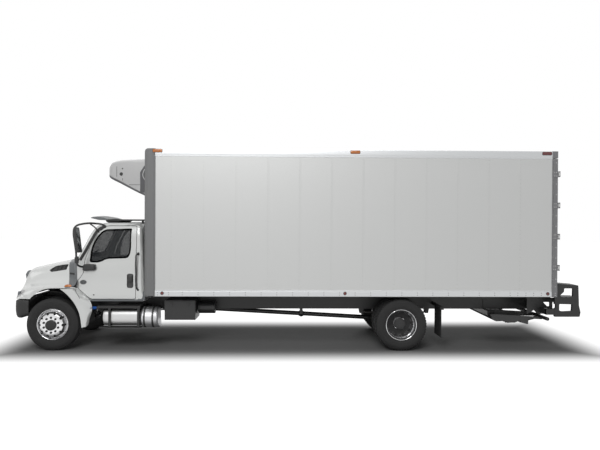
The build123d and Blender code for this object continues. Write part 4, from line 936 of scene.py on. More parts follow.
def cab_ring(level, inset):
    """Points round half the cab at one level, from the front's centre to the rear's."""
    z, front, corner, rear, front_w, rear_w = level
    front, corner, rear = front + inset, corner + inset, rear - inset
    front_w, rear_w = front_w - inset, rear_w - inset
    sweep = corner - front
    length = rear - corner

    def out(x):
        return front_w + (rear_w - front_w) * min(1.0, (x - corner) / (length * 0.75))

    near = min(0.10, front_w * 0.2)
    far = min(0.055, rear_w * 0.15)
    return [(front, 0, z), (front + sweep * 0.10, front_w * 0.34, z), (front + sweep * 0.38, front_w * 0.66, z),
            (front + sweep * 0.72, front_w * 0.86, z), (corner + near * 0.05, front_w - near * 0.35, z),
            (corner + near * 0.42, front_w - near * 0.04, z), (corner + near * 1.3, out(corner + near * 1.3), z),
            (corner + length * 0.35, out(corner + length * 0.35), z),
            (corner + length * 0.65, out(corner + length * 0.65), z), (rear - far * 2.2, rear_w, z),
            (rear - far * 0.7, rear_w - far * 0.06, z), (rear - far * 0.06, rear_w - far * 0.7, z),
            (rear, rear_w - far * 2.2, z), (rear, rear_w * 0.45, z), (rear, 0, z)]


def cab_solid(name, inset=0.0):
    """Closed smooth solid of the cab; inset moves its skin inwards."""
    rows = [both_halves(cab_ring(level, inset)) for level in CAB_LEVELS]
    low, high = CAB_LEVELS[0][0], CAB_LEVELS[-1][0]
    if inset:
        rows = [[(x, y, min(max(z - inset if z > 2.3 else z, low + inset), high - inset)) for x, y, z in row]
                for row in rows]
    return raw_object(name, Form().skin(smooth_rows(rows, 3, 4), closed=True, ends=True))


def cab_hollow(name, outer=0.0, inner=0.035):
    obj = cab_solid(name, outer)
    core = cab_solid("core", inner)
    for material in finishes("white_paint", "interior_grey"):
        obj.data.materials.append(material)
    core.data.polygons.foreach_set("material_index", [1] * len(core.data.polygons))
    return cut(obj, core)


def grown(points, amount):
    """Closed outline moved outwards by amount."""
    points = [Vector(p) for p in points]
    area = sum(a.x * b.y - b.x * a.y for a, b in zip(points, points[1:] + points[:1]))
    turn = 1.0 if area > 0 else -1.0
    made = []
    for index, point in enumerate(points):
        before = (point - points[index - 1]).normalized()
        after = (points[(index + 1) % len(points)] - point).normalized()
        out = Vector((before.y + after.y, -before.x - after.x)) * turn
        made.append(point + out.normalized() * amount / max(0.5, out.length / 2))
    return made


def smooth_ring(points, pitch):
    """Closed outline with points added so that none are further apart than pitch."""
    made = []
    for index, point in enumerate(points):
        ahead = points[(index + 1) % len(points)]
        count = max(1, math.ceil((ahead - point).length / pitch))
        made += [point.lerp(ahead, step / count) for step in range(count)]
    return made


def door_room(side, gap):
    """Room of a door: its outline through the cab's side, floor between the doors included; floor_room takes that away
    where the room is used.
    """
    return through_side(grown(rounded(DOOR_EDGE, DOOR_ROUND), gap), one_side(side, 0.70, 1.2))


def floor_room(side, gap):
    return Form().box((0.0, 1.65), one_side(side, 0.5, 0.968 - gap), (0.90, 1.010))


class TRUCK_OT_cab(bpy.types.Operator):
    """Cab with its doors, panes, seals, handles and grab bars."""
    bl_idname = "truck.cab"
    bl_label = "Cab"

    def execute(self, context):
        whole = cab_hollow("whole")
        bare = cab_solid("bare")
        tree = tree_of(bare)
        shell = copy_of(whole, "cab_body")
        cut(shell, through_front(across(SHIELD), SHIELD_SPAN))
        cut(shell, through_front(across(REAR_PANE), REAR_SPAN))
        for side, name in SIDES:
            cut(shell, form_of(cut(raw_object("opening", door_room(side, 0.010)), floor_room(side, 0.0))))
            self.door(whole, tree, side, name)
            self.trim(tree, side, name)
        finish(shell, "chassis", "white_paint", ("white_paint", "interior_grey"), ("cab_shell",), crease=30)
        self.panes(tree)
        self.sill()
        for obj in (whole, bare):
            bpy.data.objects.remove(obj)
        return {"FINISHED"}

    def door(self, whole, tree, side, name):
        """Door cut from the cab's wall, with its glass, seal, handle, blank badge and lock."""
        leaf = copy_of(whole, f"door_panel_{name}")
        cut(leaf, door_room(side, 0.0), "INTERSECT")
        cut(leaf, floor_room(side, -0.003))
        pane = rounded(PANE, PANE_ROUND)
        cut(leaf, through_side(pane, one_side(side, 0.6, 1.2)))
        body = f"{name}_door"
        finish(leaf, body, "white_paint", ("white_paint", "interior_grey"), (f"door_{name}",), bevel=0.0015,
               crease=30)
        glazed = cab_hollow(f"door_pane_{name}", 0.010, 0.015)
        cut(glazed, through_side(grown(pane, 0.004), one_side(side, 0.6, 1.2)), "INTERSECT")
        finish(glazed, body, "tinted_glass", replaces=(f"door_glass_{name}",), crease=40)
        aim = (0, -side, 0)
        ring = [(at(p.x), side * 1.0, p.y) for p in grown(pane, -0.012)]
        seal = strip_on(tree, ring, aim, 0.5, 0.034, 0.0035, closed=True)
        piece(f"door_seal_{name}", seal, body, "black_plastic", "seal_rubber", crease=50)
        self.handle(tree, side, name, body)
        self.badge(tree, side, name, body)
        mark = land(tree, (at(.742), side * 1.4, 1.056), aim)
        piece(f"door_key_{name}", Form().dome(mark[0], mark[1], 0.014, 0.004, 16), body, "black_plastic")

    def handle(self, tree, side, name, body):
        """Tall black cup with the paddle across its upper half."""
        cup = rounded(((1.383, 1.192), (1.508, 1.192), (1.508, 1.470), (1.383, 1.470)), 0.045)
        spots = laid(tree, [(at(p.x), side * 1.5, p.y) for p in cup], (0, -side, 0), 0.0)
        form = Form().skin(raised(spots, ((-0.002, 0.0), (0.006, 0.01), (0.011, 0.06), (0.011, 0.16), (0.006, 0.24),
                                          (0.005, 0.99))), closed=True)
        start, out = spots[0]
        centre = Vector((centre_of(spots).x, start.y, 1.375))
        corners = rounded(((1.400, 1.300), (1.491, 1.300), (1.491, 1.450), (1.400, 1.450)), 0.03, 5)
        paddle = [Vector((at(p.x), start.y, p.y)) for p in corners]
        form.skin([[p + out * lift + (centre - p) * pull for p in paddle] for lift, pull in (
            (0.004, 0.0), (0.014, 0.02), (0.019, 0.12), (0.020, 0.9))], closed=True, ends=True)
        piece(f"door_handle_{name}", form, body, "black_plastic", crease=45)

    def badge(self, tree, side, name, body):
        """Blank oval plate in its raised rim."""
        ring = [(at(.543) + math.cos(a) * 0.064, side * 1.5, 1.302 + math.sin(a) * 0.044) for a in circle(36)]
        form = Form().skin(raised(laid(tree, ring, (0, -side, 0), 0.0), (
            (-0.001, 0.0), (0.005, 0.02), (0.0055, 0.12), (0.003, 0.17), (0.003, 0.98))), closed=True, ends=True)
        piece(f"door_plate_{name}", form, body, "light_grey", "blank_plate", crease=40)

    def trim(self, tree, side, name):
        """Black strip along the windshield's post, the drip gutter and the grab bar behind the door."""
        for label, look, aim, sizes, path in (
                ("post_trim", "black_plastic", (0.35, -side, -0.1), (0.062, 0.012),
                 ((.42, 1.735), (.50, 1.885), (.575, 2.05), (.655, 2.21), (.74, 2.345), (.86, 2.40))),
                ("drip_gutter", "white_paint", (0, -side, 0), (0.014, 0.010),
                 ((.84, 2.402), (1.0, 2.418), (1.3, 2.420), (1.52, 2.415), (1.60, 2.38)))):
            line = smooth_line([(at(x), side * 1.05, z) for x, z in path], 6)
            piece(f"{label}_{name}", strip_on(tree, line, aim, 0.4, *sizes), "chassis", look, crease=50)
        bar = [(1.598, 1.856), (1.574, 1.835), (1.568, 1.74), (1.567, 1.45), (1.568, 1.27), (1.578, 1.19),
               (1.604, 1.152)]
        y = land(tree, (at(1.58), side * 1.5, 1.5), (0, -side, 0))[0].y
        outs = (0.0, 0.035, 0.045, 0.045, 0.045, 0.035, 0.0)
        form = Form().pipe(smooth_line([(at(x), y + side * o, z) for (x, z), o in zip(bar, outs)], 6), 0.0150, 12)
        for x, z in (bar[0], bar[-1]):
            form.dome((at(x), y - side * 0.003, z), (0, side, 0), 0.028, 0.012, 16)
        piece(f"grab_bar_{name}", form, "chassis", "black_steel", "black_plastic")

    def panes(self, tree):
        """Windshield and rear window in their seals."""
        for name, outline, span, place, aim, stands in (
                ("windshield", SHIELD, SHIELD_SPAN, 0.0, (1, 0, 0), ("cab_windows",)),
                ("rear_window", REAR_PANE, REAR_SPAN, 2.2, (-1, 0, 0), ())):
            glazed = cab_hollow(name, 0.009, 0.015)
            cut(glazed, through_front(across(outline, 1.004), span), "INTERSECT")
            finish(glazed, "chassis", "tinted_glass", replaces=stands, crease=40)
            ring = [(at(place), p.x, p.y) for p in smooth_ring(rounded(across(outline, 0.993), 0.05), 0.12)]
            seal = strip_on(tree, ring, aim, 0.0, 0.040, 0.004, closed=True)
            piece(f"{name}_seal", seal, "chassis", "black_plastic", "seal_rubber", crease=50)

    def sill(self):
        """Grey step sill under the cab."""
        form = Form()
        ring = rounded([(.690, .968), (.690, .930), (1.690, .930), (1.690, .968)], 0.01, 3)
        for side in (-1, 1):
            form.prism(side_outline(ring), "Y", one_side(side, 0.90, 1.027))
        piece("cab_sill", form, "chassis", "grey_plastic", bevel=0.003)


# ---------------------------------------------------------------- bumper, fenders, cowl, mirrors, roof blade
BUMPER_PATH = [(-.748, 0), (-.748, .45), (-.747, .80), (-.745, .97), (-.735, 1.07), (-.699, 1.135), (-.626, 1.162),
               (-.54, 1.166), (-.455, 1.160)]
BUMPER_SECTION = [  # height, how far in from the path
    (.962, .070), (.964, .030), (.960, .012), (.945, .004), (.86, .0), (.76, .001), (.68, .012), (.640, .030),
    (.622, .055), (.618, .085), (.630, .090), (.650, .060), (.70, .022), (.86, .014), (.940, .018), (.945, .070)]
FENDER = [  # rows from the arch's edge to the rear edge: place, out, height
    [(.150, 1.190, 1.186), (.25, 1.191, 1.188), (.37, 1.185, 1.190), (.415, 1.120, 1.190), (.430, 1.034, 1.190)],
    [(.250, 1.190, 1.112), (.33, 1.191, 1.122), (.41, 1.180, 1.135), (.450, 1.115, 1.140), (.474, 1.034, 1.142)],
    [(.345, 1.189, 1.018), (.41, 1.188, 1.032), (.475, 1.170, 1.048), (.514, 1.112, 1.052), (.538, 1.034, 1.056)],
    [(.441, 1.183, .881), (.50, 1.177, .905), (.565, 1.150, .935), (.618, 1.095, .955), (.659, 1.044, .966)],
    [(.505, 1.172, .745), (.56, 1.163, .765), (.625, 1.140, .785), (.680, 1.105, .800), (.723, 1.066, .805)],
    [(.536, 1.162, .600), (.58, 1.155, .605), (.635, 1.135, .610), (.662, 1.107, .618), (.683, 1.074, .622)],
    [(.556, 1.156, .441), (.585, 1.150, .446), (.625, 1.133, .455), (.638, 1.108, .468), (.652, 1.080, .482)]]
COWL_SIDE = [(.110, 1.80), (.128, 1.708), (.184, 1.682), (.205, 1.648), (.224, 1.53), (.251, 1.40), (.287, 1.31),
             (.313, 1.272), (.338, 1.236), (.40, 1.230), (.425, 1.262), (.430, 1.33), (.425, 1.40), (.407, 1.454),
             (.382, 1.585), (.365, 1.68), (.300, 1.735), (.300, 1.80)]
ARM = [(.907, .88, 2.403), (.83, .915, 2.432), (.744, .95, 2.441), (.663, 1.08, 2.447), (.555, 1.15, 2.431),
       (.480, 1.23, 2.397), (.448, 1.25, 2.355), (.433, 1.25, 2.26), (.447, 1.25, 2.127), (.477, 1.245, 1.899),
       (.484, 1.235, 1.735), (.490, 1.20, 1.655), (.515, 1.12, 1.612), (.575, 1.03, 1.598)]


class TRUCK_OT_front(bpy.types.Operator):
    """Bumper, rear parts of the front fenders, cowl, mirrors and roof blade."""
    bl_idname = "truck.front"
    bl_label = "Front and mirrors"

    def execute(self, context):
        self.bumper()
        for side, name in SIDES:
            self.fender(side, name)
            self.mirror(side, name)
        self.cowl()
        self.blade()
        return {"FINISHED"}

    def bumper(self):
        """Deep black bumper with rolled edges, its ends wrapped round to the wheel openings."""
        path = smooth_line(both_halves([(x, y, 0) for x, y in BUMPER_PATH]), 4)
        count = len(path)
        rows = []
        for index, place in enumerate(path):
            along = (path[min(index + 1, count - 1)] - path[max(index - 1, 0)]).normalized()
            inward = Vector((along.y, -along.x, 0))
            back = max(0.0, place.x - at(-.62)) / 0.15
            rows.append([place + inward * depth + Vector((0, 0, z + max(0.0, .80 - z) * 0.22 * back))
                         for z, depth in BUMPER_SECTION])
        form = Form().skin(rows, closed=True, ends=True)
        for side in (-1, 1):
            form.box((-.715, -.645), one_side(side, .356, .396), (.725, .895))
        obj = raw_object("bumper", form)
        slot = rounded(((-.30, .66), (.30, .66), (.30, .76), (-.30, .76)), .03, 4)
        cut(obj, through_front(slot, (-.9, -.70)))
        finish(obj, "chassis", "black_steel", replaces=("front_bumper",), crease=38)
        bolts = Form()
        for side in (-1, 1):
            for y, z in ((.36, .90), (.36, .70), (.50, .90), (.50, .70)):
                bolts.dome((at(-.7470), side * y, z), (-1, 0, 0), 0.016, 0.009, 12)
        piece("bumper_bolts", bolts, "chassis", "black_steel", "lock_steel")
        plate = Form().box((-.7535, -.7480), (-.155, .155), (.80, .875))
        piece("front_plate", plate, "chassis", "light_grey", "blank_plate", bevel=0.002)

    def fender(self, side, name):
        """Part of the fender behind the wheel, its joint line and its liner."""
        flange = [[(at(row[0][0] - .002), side * (row[0][1] - .034), row[0][2] - .001)] + [
            (at(x), side * y, z) for x, y, z in row] for row in FENDER]
        obj = raw_object(f"fender_rear_{name}", Form().skin(smooth_rows(flange, 4, 5)))
        step = obj.modifiers.new("wall", "SOLIDIFY")
        step.thickness, step.offset = 0.006, 0.0
        settle(obj)
        finish(obj, "chassis", "white_paint", replaces=("fender_extensions",), crease=45)
        tree = tree_of(obj)
        crease = [(at(x), side * 1.6, z) for x, z in ((.424, 1.170), (.448, 1.118), (.484, 1.062), (.520, 1.0))]
        piece(f"fender_joint_{name}", strip_on(tree, smooth_line(crease, 4), (0, -side, 0), 0.0, 0.009, 0.0015),
              "chassis", "black_plastic", "seal_rubber")
        liner(f"wheel_liner_rear_{name}", side, "chassis", 11, 84, 8.4, ((0.66, 0.645), (0.90, 0.64), (1.13, 0.630)),
              ((.06, .66), (.40, 1.17)))

    def cowl(self):
        """Grey panels behind the hood with their black latches, and the wipers on the screen's foot."""
        obj = hood_skin("cowl", 0.003)
        thicken(obj, 0.012)
        cut(obj, through_side(COWL_SIDE), "INTERSECT")
        tree = tree_of(obj)
        finish(obj, "chassis", "grey_plastic", replaces=("cowl_panels",), crease=35)
        corner = cab_hollow("cowl_corner", -.006, .004)
        cut(corner, through_side([(.20, 1.24), (.423, 1.24), (.423, 1.36), (.418, 1.45), (.405, 1.58), (.392, 1.70),
                                  (.20, 1.70)]), "INTERSECT")
        cut(corner, Form().box((0.0, 1.0), (-.84, .84), (1.0, 2.0)))
        finish(corner, "chassis", "grey_plastic", crease=35)
        for side, name in SIDES:
            path = [(at(x), side * 1.6, z) for x, z in ((.250, 1.460), (.29, 1.458), (.345, 1.452), (.388, 1.446))]
            form = strip_on(tree, path, (0, -side, 0), 0.0, 0.034, 0.016)
            form.join(strip_on(tree, path[:3], (0, -side, 0), 0.0, 0.014, 0.026))
            piece(f"hood_latch_{name}", form, "chassis", "black_plastic")
        wipers = Form()
        glass = cab_solid("glass")
        screen = tree_of(glass)
        bpy.data.objects.remove(glass)
        ahead = at(-.1)
        for (y, z), (end_y, end_z) in (((-.62, 1.72), (-.05, 1.86)), ((.05, 1.72), (.60, 1.86))):
            arm = [(ahead, y + (end_y - y) * t, z + (end_z - z) * t) for t in (0.0, 0.25, 0.5, 0.75, 1.0)]
            blade = [(ahead, end_y + (y - end_y) * 0.95 * t, end_z + 0.01 - 0.075 * t) for t in (-0.06, 0.3, 0.65, 1.0)]
            for path, lift, radius, sides in ((arm, 0.020, [0.010, 0.009, 0.008, 0.007, 0.005], 8),
                                              (blade, 0.007, 0.006, 6)):
                wipers.pipe([p + n * lift for p, n in laid(screen, path, (1, 0, 0), 0.0)], radius, sides)
        piece("wipers", wipers, "chassis", "black_plastic")

    def mirror(self, side, name):
        """Mirror head on its bent arm, the bracket on the door's corner and the pod at its foot."""
        body = f"{name}_door"
        form = Form()
        for path, steps, radius, sides in (
                (ARM, 5, 0.019, 12), (((.83, .880, 2.31), (.875, .885, 2.37), (.92, .885, 2.40)), 4, 0.030, 12),
                (((.80, .905, 2.27), (.74, 1.0, 2.375), (.69, 1.075, 2.43)), 4, 0.013, 10)):
            form.pipe(smooth_line([(at(x), side * y, z) for x, y, z in path], steps), radius, sides)
        for z, x in ((2.25, .436), (1.99, .464)):
            form.rod((at(x), side * 1.248, z), (at(x + .07), side * 1.30, z), 0.013, 10)
        knuckle = [(1.68, .018), (1.69, .032), (1.74, .040), (1.80, .034), (1.815, .018)]
        form.skin([[(at(.487 + math.cos(a) * r * 1.1), side * 1.235 + math.sin(a) * r, z) for a in circle(16)]
                   for z, r in knuckle], closed=True, ends=True)
        piece(f"mirror_arm_{name}", form, body, "black_plastic", replaces=(f"mirror_{name}",))
        outline = rounded(((1.238, 1.893), (1.430, 1.893), (1.4335, 2.370), (1.242, 2.370)), .04, 6)

        def place(z, depth):
            return at(.556 - (z - 1.9) * .090 + depth * (1.3 - (z - 1.9) * 1.2))

        shell = Form().skin([[(place(p.y, depth), side * (p.x + (1.337 - p.x) * pull), p.y + (2.13 - p.y) * pull)
                              for p in outline] for depth, pull in (
            (-.034, .30), (-.028, .12), (-.012, .02), (.018, .0), (.030, .012), (.030, .06), (.022, .065))],
            closed=True, ends=True)
        piece(f"mirror_head_{name}", shell, body, "black_plastic", crease=40)
        glass = Form()
        for low, high in ((2.068, 2.350), (1.913, 2.053)):
            pane = rounded(((1.256, low), (1.416, low), (1.416, high), (1.256, high)), .03, 5)
            glass.skin([[(place(p.y, depth), side * p.x, p.y) for p in pane] for depth in (.018, .0262)],
                       closed=True, ends=True)
        piece(f"mirror_glass_{name}", glass, body, "lock_steel", "mirror_glass")
        ring = rounded(((.530, 1.520), (.788, 1.535), (.784, 1.650), (.545, 1.656)), .045)
        pod = Form().skin([[(at(.658 + (p.x - .658) * grow), side * y, 1.588 + (p.y - 1.588) * grow) for p in ring]
                           for y, grow in ((.955, 0.86), (.99, 1.0), (1.05, 1.0), (1.085, .94), (1.102, .80),
                                           (1.108, .55))], closed=True, ends=True)
        piece(f"mirror_pod_{name}", pod, body, "black_plastic", crease=45)

    def blade(self):
        """Pale deflector blade on its black base, with the flat panel behind it."""
        section = [(.468, 2.572), (.500, 2.588), (.586, 2.598), (.67, 2.593), (.747, 2.578), (.858, 2.540),
                   (.850, 2.522), (.76, 2.520), (.646, 2.524), (.54, 2.550), (.476, 2.565)]
        wing = Form().skin([[(at(x + (.86 - x) * pull), y, z + (2.545 - z) * pull - abs(y) * .03) for x, z in section]
                            for y, pull in ((-.52, .25), (-.50, .08), (-.40, .02), (0, 0), (.40, .02), (.50, .08),
                                            (.52, .25))], closed=True, ends=True)
        piece("roof_blade_wing", wing, "chassis", "light_grey", "grey_plastic", ("roof_blade",), crease=40)
        base = Form()
        outline = [(.766, 2.520), (1.110, 2.520), (1.098, 2.500), (1.047, 2.461), (.844, 2.454), (.793, 2.472)]
        base.prism(side_outline(rounded(outline, .015, 4)), "Y", (-.42, .42))
        for y in (-.36, .36):
            base.box((1.50, 1.54), (y - .02, y + .02), (2.44, 2.516))
        piece("roof_blade_base", base, "chassis", "black_plastic", bevel=0.003)
        panel = Form().box((.862, 1.600), (-.56, .56), (2.496, 2.527))
        piece("roof_panel", panel, "chassis", "black_plastic", bevel=0.004)


# ---------------------------------------------------------------- tyres and wheels
DUALS = (0.752, 1.088)          # middles of the inner and outer rear wheels, from the centre line
HOLE_CIRCLE, STUD_CIRCLE = .2225, .1429     # radii of the hand holes' and studs' circles
FRONT_TRACK = 1.035             # middle of a front wheel, from the centre line
DISC = 12                       # the point of a rim's profile on its disc's outer face
STEER_GROOVES = (-.080, -.030, .030, .080)
DRIVE_GROOVES = (-.042, 0.0, .042)
SIDEWALL = [(.1000, .2895), (.1085, .2960), (.1150, .3070), (.1175, .3120), (.1165, .3180), (.1235, .3330),
            (.1300, .3530), (.1310, .3545), (.1302, .3570), (.1345, .3760), (.1370, .3980), (.1378, .4120),
            (.1375, .4250), (.1388, .4265), (.1385, .4300), (.1358, .4330), (.1330, .4480), (.1290, .4610),
            (.1275, .4640), (.1255, .4660), (.1235, .4760), (.1180, .4870), (.1080, .4945), (.0960, .4975)]
FRONT_RIM = [(.115, .298), (.1165, .2935), (.113, .288), (.100, .2835), (.070, .277), (.052, .266), (.050, .2555),
             (.060, .250), (.105, .246), (.150, .2365), (.176, .217), (.187, .190), (.190, .165), (.190, .099),
             (.170, .099), (.170, .175), (.160, .203), (.140, .220), (.100, .231), (.040, .236), (.015, .246),
             (-.030, .248), (-.045, .270), (-.100, .276), (-.113, .288), (-.1165, .2935), (-.115, .298),
             (-.104, .298), (-.103, .2890), (-.055, .286), (-.040, .264), (.035, .264), (.050, .286),
             (.103, .2890), (.104, .298)]
REAR_RIM = [(.115, .298), (.1165, .2935), (.113, .288), (.100, .2835), (.070, .277), (.045, .262), (.030, .251),
            (-.020, .2485), (-.045, .243), (-.085, .232), (-.120, .213), (-.138, .190), (-.145, .165),
            (-.146, .099), (-.166, .099), (-.166, .175), (-.158, .200), (-.135, .225), (-.100, .246),
            (-.075, .268), (-.100, .276), (-.113, .288), (-.1165, .2935), (-.115, .298), (-.104, .298),
            (-.103, .2890), (-.082, .286), (-.062, .272), (.030, .266), (.055, .286), (.103, .2890), (.104, .298)]


class TRUCK_OT_wheels(bpy.types.Operator):
    """Tyres with their treads, polished wheels, hubs, drums, nuts and valves."""
    bl_idname = "truck.wheels"
    bl_label = "Wheels"

    def execute(self, context):
        for side, name in SIDES:
            body = f"{name}_front_wheel"
            y = side * FRONT_TRACK
            self.tyre(f"steer_tyre_{name}", FRONT_AXLE, (y,), body, False, f"front_tyre_{name}")
            self.rim(f"steer_wheel_{name}", FRONT_AXLE, y, side, FRONT_RIM, body, (f"front_wheel_{name}",))
            self.hub(f"steer_hub_{name}", FRONT_AXLE, y + side * .190, side, body,
                     [(-.17, .06), (-.17, .098), (.0, .099), (.030, .099), (.038, .095), (.042, .086), (.042, .0)])
            self.drum(f"steer_drum_{name}", FRONT_AXLE, y, side, body, (-.018, .140))
            body = f"{name}_rear_wheels"
            outer, inner = side * DUALS[1], side * DUALS[0]
            self.tyre(f"drive_tyres_{name}", REAR_AXLE, (outer, inner), body, True, f"rear_tyres_{name}")
            self.rim(f"drive_wheel_{name}", REAR_AXLE, outer, side, REAR_RIM, body, (f"rear_wheels_{name}",))
            self.rim(f"drive_wheel_inner_{name}", REAR_AXLE, inner, -side, REAR_RIM, body, ())
            self.hub(f"drive_hub_{name}", REAR_AXLE, outer - side * .146, side, body,
                     [(-.21, .06), (-.20, .098), (.0, .099), (.085, .098), (.090, .112), (.104, .112), (.108, .104),
                      (.122, .088), (.126, .0)])
            self.drum(f"drive_drum_{name}", REAR_AXLE, inner, side, body, (-.080, .128))
        return {"FINISHED"}

    def tyre(self, name, x, places, body, drive, node):
        """Tread with its grooves, shoulders and ribbed sidewalls; drive tyres have open blocks."""
        depth, lugs = wheel_sizes().groove, wheel_sizes().lugs
        tread = []
        for middle in DRIVE_GROOVES if drive else STEER_GROOVES:
            half = 0.0048 if drive else 0.0055
            crown = TYRE_R - 0.12 * middle * middle
            tread += [(middle - half, crown), (middle - half + .0015, crown - depth),
                      (middle + half - .0015, crown - depth), (middle + half, crown)]
        profile = [(-o, r) for o, r in SIDEWALL] + tread + list(reversed(SIDEWALL))

        def block(offset, radius, step):
            wide = abs(offset)
            if not drive or radius < .463:
                return 0.0
            if wide > .046:
                return -depth * 0.9 if step % 4 == 0 else 0.0
            return -depth * 0.7 if (step + (2 if offset > 0 else 0)) % 4 == 0 else 0.0

        form = Form()
        for y in places:
            form.turn(profile, (x, y, TYRE_R), lugs * 4 if drive else 96, reach=block)
        piece(name, form, body, "tyre_rubber", replaces=(node,), crease=28)

    def rim(self, name, x, y, side, profile, body, replaces):
        """Polished wheel with ten hand holes, a black disc behind them that is painted shade to make them look dark,
        its nuts and the valve.
        """
        obj = raw_object(name, Form().turn([(side * o, r) for o, r in profile + profile[:1]], (x, y, TYRE_R), 80))
        holes, nuts = Form(), Form()
        disc = profile[DISC][0]
        low, high = sorted((y + side * (disc - .13), y + side * (disc + .16)))
        for step in range(10):
            a = math.radians(36 * step)
            cx, cz = x + math.cos(a) * HOLE_CIRCLE, TYRE_R + math.sin(a) * HOLE_CIRCLE
            holes.rod((cx, low, cz), (cx, high, cz), .0275, 24)
        cut(obj, holes)
        finish(obj, body, "polished_alloy", replaces=replaces, crease=25)
        face = y + side * disc
        size = wheel_sizes().nut / 2
        for step in range(10):
            a = math.radians(18 + 36 * step)
            cx, cz = x + math.cos(a) * STUD_CIRCLE, TYRE_R + math.sin(a) * STUD_CIRCLE
            for reach, radius, sides in ((.004, size * 1.35, 20), (.024, size * 1.12, 6), (.034, size * .62, 12)):
                nuts.rod((cx, face - side * .002, cz), (cx, face + side * reach, cz), radius, sides)
        # black disc behind the hand holes: painted shade in the holes
        shade = y + side * (disc - .045 if disc > 0 else disc + .03)
        back = Form().turn([(shade - y, .120), (shade - y, .246)], (x, y, TYRE_R), 48)
        piece(f"{name}_shade", back, body, "black_steel", "flap_rubber")
        piece(f"{name}_nuts", nuts, body, "lock_steel", "black_steel", bevel=0.001)
        a = math.radians(52)
        root = Vector((x + math.cos(a) * .262, y + side * (.040 if disc > 0 else .02), TYRE_R + math.sin(a) * .262))
        valve = Form().rod(root, root + Vector((-math.cos(a) * .012, side * .05, -math.sin(a) * .012)), .0035, 8)
        piece(f"{name}_valve", valve, body, "lock_steel", "chrome")

    def hub(self, name, x, y, side, body, profile):
        """Hub with a ring of cap screws."""
        form = Form().turn([(side * o, r) for o, r in profile], (x, y, TYRE_R), 40)
        tip = y + side * profile[-2][0]
        for step in range(6):
            a = math.radians(30 + 60 * step)
            form.dome((x + math.cos(a) * .062, tip, TYRE_R + math.sin(a) * .062), (0, side, 0), .008, .006)
        piece(name, form, body, "black_steel", crease=30)

    def drum(self, name, x, y, side, body, span):
        """Ribbed brake drum."""
        ribs = [(side * span[0], .19), (side * span[0], .205)]
        for step in range(6):
            o = span[0] + (span[1] - span[0]) * (step + 1) / 7
            ribs += [(side * (o - .004), .200), (side * (o - .003), .206), (side * (o + .003), .206),
                     (side * (o + .004), .200)]
        ribs += [(side * span[1], .203), (side * span[1], .10)]
        piece(name, Form().turn(ribs, (x, y, TYRE_R), 48), body, "shaft_steel")


# ---------------------------------------------------------------- insulated box
def pair(name, form, body, slot, look=None, replaces=(), **more):
    """The same piece on both sides of the truck, from the driver's side's form; {} stands for the side."""
    for side, label in SIDES:
        piece(f"{name}_{label}", form if side < 0 else form.flipped(), body.format(label), slot, look,
              [node.format(label) for node in replaces], **more)


def along(form, outline, start, end):
    """Section in Y and Z carried along the truck."""
    return form.prism(outline, "X", (at(start), at(end)))


def plate(form, y, *points, radius=0.0):
    """Plate seen from the side, between two depths on the driver's side."""
    return form.prism(side_outline(rounded(points, radius, 4) if radius else points), "Y", y)


def span(start, end, pitch):
    """Even places from start to end, about a pitch apart."""
    count = max(1, round((end - start) / pitch))
    return [start + (end - start) * step / count for step in range(count + 1)]


BOX_FRONT, BOX_END, POST_FRONT, POST_END = 1.796, 9.611, 1.764, 1.986       # from the front axle
SHEET_Y, RAIL_Y, RAIL_BACK = 1.2845, 1.293, 1.190       # sheets', rails' and posts' faces, and their backs
BOTTOM_RAIL = [(-1.190, 1.056), (-1.285, 1.056), (-1.293, 1.064), (-1.293, 1.150), (-1.2895, 1.156),
               (-1.2895, 1.181), (-1.287, 1.184), (-1.190, 1.184)]
TOP_RAIL = [(-1.190, 3.728), (-1.287, 3.728), (-1.2895, 3.731), (-1.2895, 3.765), (-1.293, 3.770), (-1.293, 3.852),
            (-1.288, 3.868), (-1.274, 3.877), (-1.190, 3.877)]


